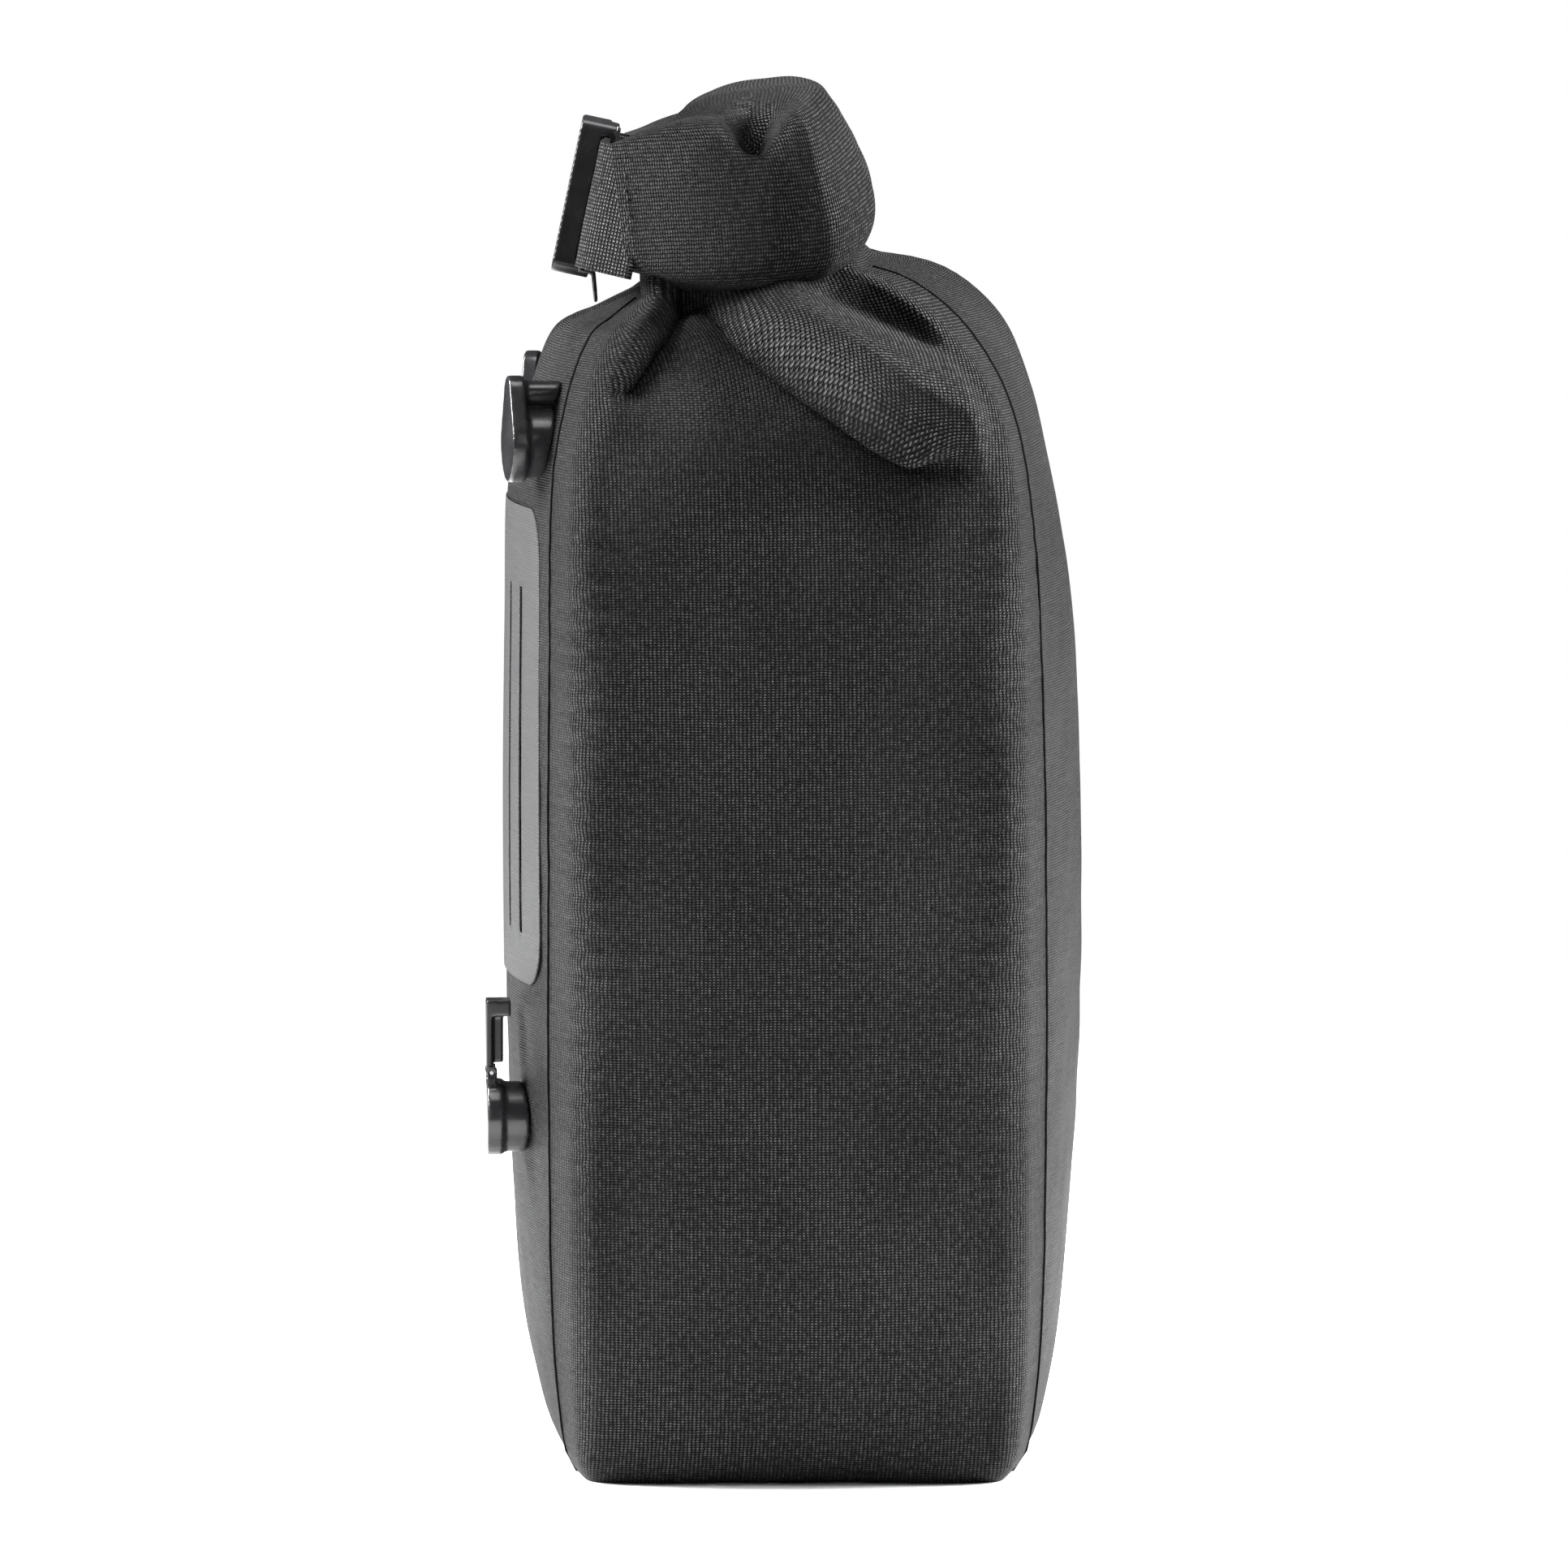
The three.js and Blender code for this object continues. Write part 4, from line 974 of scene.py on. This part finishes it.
class PANNIER_OT_kept_nodes(bpy.types.Operator):
    """Gives the nodes that stay as modelled their finishes"""

    bl_idname = "pannier.kept_nodes"
    bl_label = "Kept Nodes"

    def execute(self, context):
        look = context.scene.pannier_look
        finishes = {
            "back_stiffener": kept("board_plastic", sheet_plastic_material, look.board),
            "mouth_slat": kept("board_plastic", sheet_plastic_material, look.board),
            "lock_lever_pin": kept("plated_steel", steel_material),
            "buckle_prong_upper": black_plastic(),
            "buckle_prong_lower": black_plastic(),
        }
        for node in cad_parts:
            if node.endswith(("_screw", "_plate")):
                finishes[node] = kept("plated_steel", steel_material)
        for node, finish in finishes.items():
            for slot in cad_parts[node].material_slots:
                slot.link = "OBJECT"
                slot.material = finish
        return {"FINISHED"}


# ---------------------------------------------------------------- the stage
class PANNIER_OT_stage(bpy.types.Operator):
    """Lays the floor, hangs the lights and sets the camera"""

    bl_idname = "pannier.stage"
    bl_label = "Stage"

    def execute(self, context):
        scene, look = context.scene, context.scene.pannier_look
        reach = FLOOR_REACH / MM
        corners = np.array([[(x, y, 0) for x in (-reach, reach)] for y in (-reach, reach)])
        mesh = grid_mesh("floor", corners)
        mesh.materials.append(floor_material(look.floor, FLOOR_CLEAR, FLOOR_GONE))
        floor = bpy.data.objects.new("floor", mesh)
        scene.collection.objects.link(floor)
        self.surroundings(scene, look.room_light)
        for name, spot, target, sides, setting in LAMPS:
            self.lamp(scene, name, spot, target, sides, getattr(look, setting))
        self.camera(scene)
        scene.view_settings.view_transform = "Standard"
        return {"FINISHED"}

    def surroundings(self, scene, strength):
        """A white surround behind the bag that lights it at a lower strength."""
        world = bpy.data.worlds.new("studio")
        world.use_nodes = True
        nodes, links = world.node_tree.nodes, world.node_tree.links
        backdrop = nodes["Background"]
        backdrop.inputs["Color"].default_value = (1, 1, 1, 1)
        seen = nodes.new("ShaderNodeLightPath").outputs["Is Camera Ray"]
        level = nodes.new("ShaderNodeMapRange")
        level.inputs["To Min"].default_value = strength
        level.inputs["To Max"].default_value = 1.0
        links.new(seen, level.inputs["Value"])
        links.new(level.outputs[0], backdrop.inputs["Strength"])
        scene.world = world

    def lamp(self, scene, name, spot, target, sides, power):
        """Adds a rectangular lamp at a place, turned to face its target."""
        data = bpy.data.lights.new(name, "AREA")
        data.shape = "RECTANGLE"
        data.size, data.size_y = sides
        data.energy = power
        lamp = bpy.data.objects.new(name, data)
        scene.collection.objects.link(lamp)
        self.aim(lamp, spot, target)

    def camera(self, scene):
        """Adds the camera that the scene is seen through."""
        data = bpy.data.cameras.new("camera")
        data.lens = CAMERA_LENS
        data.sensor_width = 36.0
        data.clip_end = 60.0
        camera = bpy.data.objects.new("camera", data)
        scene.collection.objects.link(camera)
        self.aim(camera, CAMERA_PLACE, CAMERA_AIM)
        scene.camera = camera

    def aim(self, thing, spot, target):
        """Moves a lamp or camera to a place and turns it to look at its target."""
        x, y, z = np.array(target) - np.array(spot)
        thing.location = spot
        thing.rotation_euler = (math.atan2(math.hypot(x, y), -z), 0, math.atan2(-x, y))


# ---------------------------------------------------------------- settings and panel
def length_setting(name, description, default, smallest=0.0002):
    """A length that a user may change, in metres."""
    return FloatProperty(name=name, description=description, default=default, min=smallest, unit="LENGTH")


def number_setting(name, description, default, **limits):
    """A brightness, share or power that a user may change."""
    return FloatProperty(name=name, description=description, default=default, min=0, **limits)


def colour_setting(name, description, default):
    """A colour that a user may change."""
    return FloatVectorProperty(name=name, description=description, default=default, size=3, subtype="COLOR")


class PannierSizes(bpy.types.PropertyGroup):
    """Sizes of the cloth and the fittings."""

    cloth_thickness: length_setting("Cloth Thickness", "Thickness of the coated cloth", 0.0012)
    yarn_across: length_setting("Warp Pitch", "Distance between warp yarns", 0.0012)
    yarn_along: length_setting("Weft Pitch", "Distance between weft yarns", 0.0008)
    seam_lap: length_setting(
        "Seam Lap", "How far a gusset laps over the wide panels", 0.024, smallest=0.005
    )
    lap_proud: length_setting("Lap Height", "How far a lapped seam stands proud", 0.0014)
    webbing_thickness: length_setting("Webbing Thickness", "Thickness of the straps", 0.0017)
    rib_across: length_setting("Webbing Warp Pitch", "Distance between the straps' warp yarns", 0.0011)
    rib_along: length_setting("Webbing Weft Pitch", "Distance between the straps' weft yarns", 0.0013)
    patch_proud: length_setting(
        "Patch Height", "How far the printed patch stands proud", 0.0006, smallest=0.0001
    )
    mould_grid: length_setting("Mould Grid", "Grid size for the moulded pieces", 0.0004)


class PannierLook(bpy.types.PropertyGroup):
    """Colours and light."""

    # The cloth's gap colour is painted shade between the yarns, and its fleck colour painted highlight on the
    # yarn crowns.
    cloth_gap_shade: colour_setting("Cloth Gaps", "Colour between the yarns", (0.0006, 0.0006, 0.0006))
    cloth_yarn: colour_setting("Cloth Yarn", "Colour of the yarn", (0.0055, 0.0055, 0.0058))
    cloth_fleck_highlight: colour_setting("Cloth Flecks", "Colour of the yarn's crowns", (0.12, 0.12, 0.122))
    cloth_sheen: number_setting("Cloth Sheen", "Soft gloss of the cloth at glancing angles", 0.02, max=1)
    plastic: colour_setting("Plastic", "Colour of the moulded fittings", (0.011, 0.011, 0.012))
    webbing_tone: number_setting("Webbing Tone", "Brightness of the straps against the cloth", 1.45)
    thread: colour_setting("Thread", "Colour of the sewing thread", (0.006, 0.006, 0.006))
    board: colour_setting("Board", "Colour of the stiffening board", (0.012, 0.012, 0.012))
    patch: colour_setting("Patch", "Colour of the printed wear patch", (0.015, 0.015, 0.016))
    floor: colour_setting("Floor", "Colour of the floor", (0.85, 0.85, 0.85))
    room_light: number_setting("Room Light", "Brightness of the pale surroundings", 0.05)
    side_light: number_setting("Side Light", "Power of each side lamp in watts", 265.0)
    strip_light: number_setting("Strip Light", "Power of each narrow front lamp in watts", 4.0)
    top_light: number_setting("Top Light", "Power of the lamp overhead in watts", 28.0)


PIECES = (
    PANNIER_OT_panels,
    PANNIER_OT_gussets,
    PANNIER_OT_roll,
    PANNIER_OT_straps,
    PANNIER_OT_patch,
    PANNIER_OT_fittings,
    PANNIER_OT_kept_nodes,
    PANNIER_OT_stage,
)


class PANNIER_PT_sidebar(bpy.types.Panel):
    """Lists the bag's pieces."""

    bl_idname = "PANNIER_PT_sidebar"
    bl_label = "Roll-Top Pannier Bag"
    bl_space_type = "VIEW_3D"
    bl_region_type = "UI"
    bl_category = TABS

    def draw(self, context):
        for piece in PIECES:
            self.layout.operator(piece.bl_idname)
        for group in (context.scene.pannier_sizes, context.scene.pannier_look):
            box = self.layout.box()
            for name in group.__annotations__:
                box.prop(group, name)


CLASSES = (PannierSizes, PannierLook, *PIECES, PANNIER_PT_sidebar)


def register():
    for cls in CLASSES:
        bpy.utils.register_class(cls)
    bpy.types.Scene.pannier_sizes = PointerProperty(type=PannierSizes)
    bpy.types.Scene.pannier_look = PointerProperty(type=PannierLook)


def unregister():
    del bpy.types.Scene.pannier_look
    del bpy.types.Scene.pannier_sizes
    for cls in reversed(CLASSES):
        bpy.utils.unregister_class(cls)


def main():
    register()
    for piece in PIECES:
        group, name = piece.bl_idname.split(".")
        getattr(getattr(bpy.ops, group), name)()


if __name__ == "__main__":
    main()
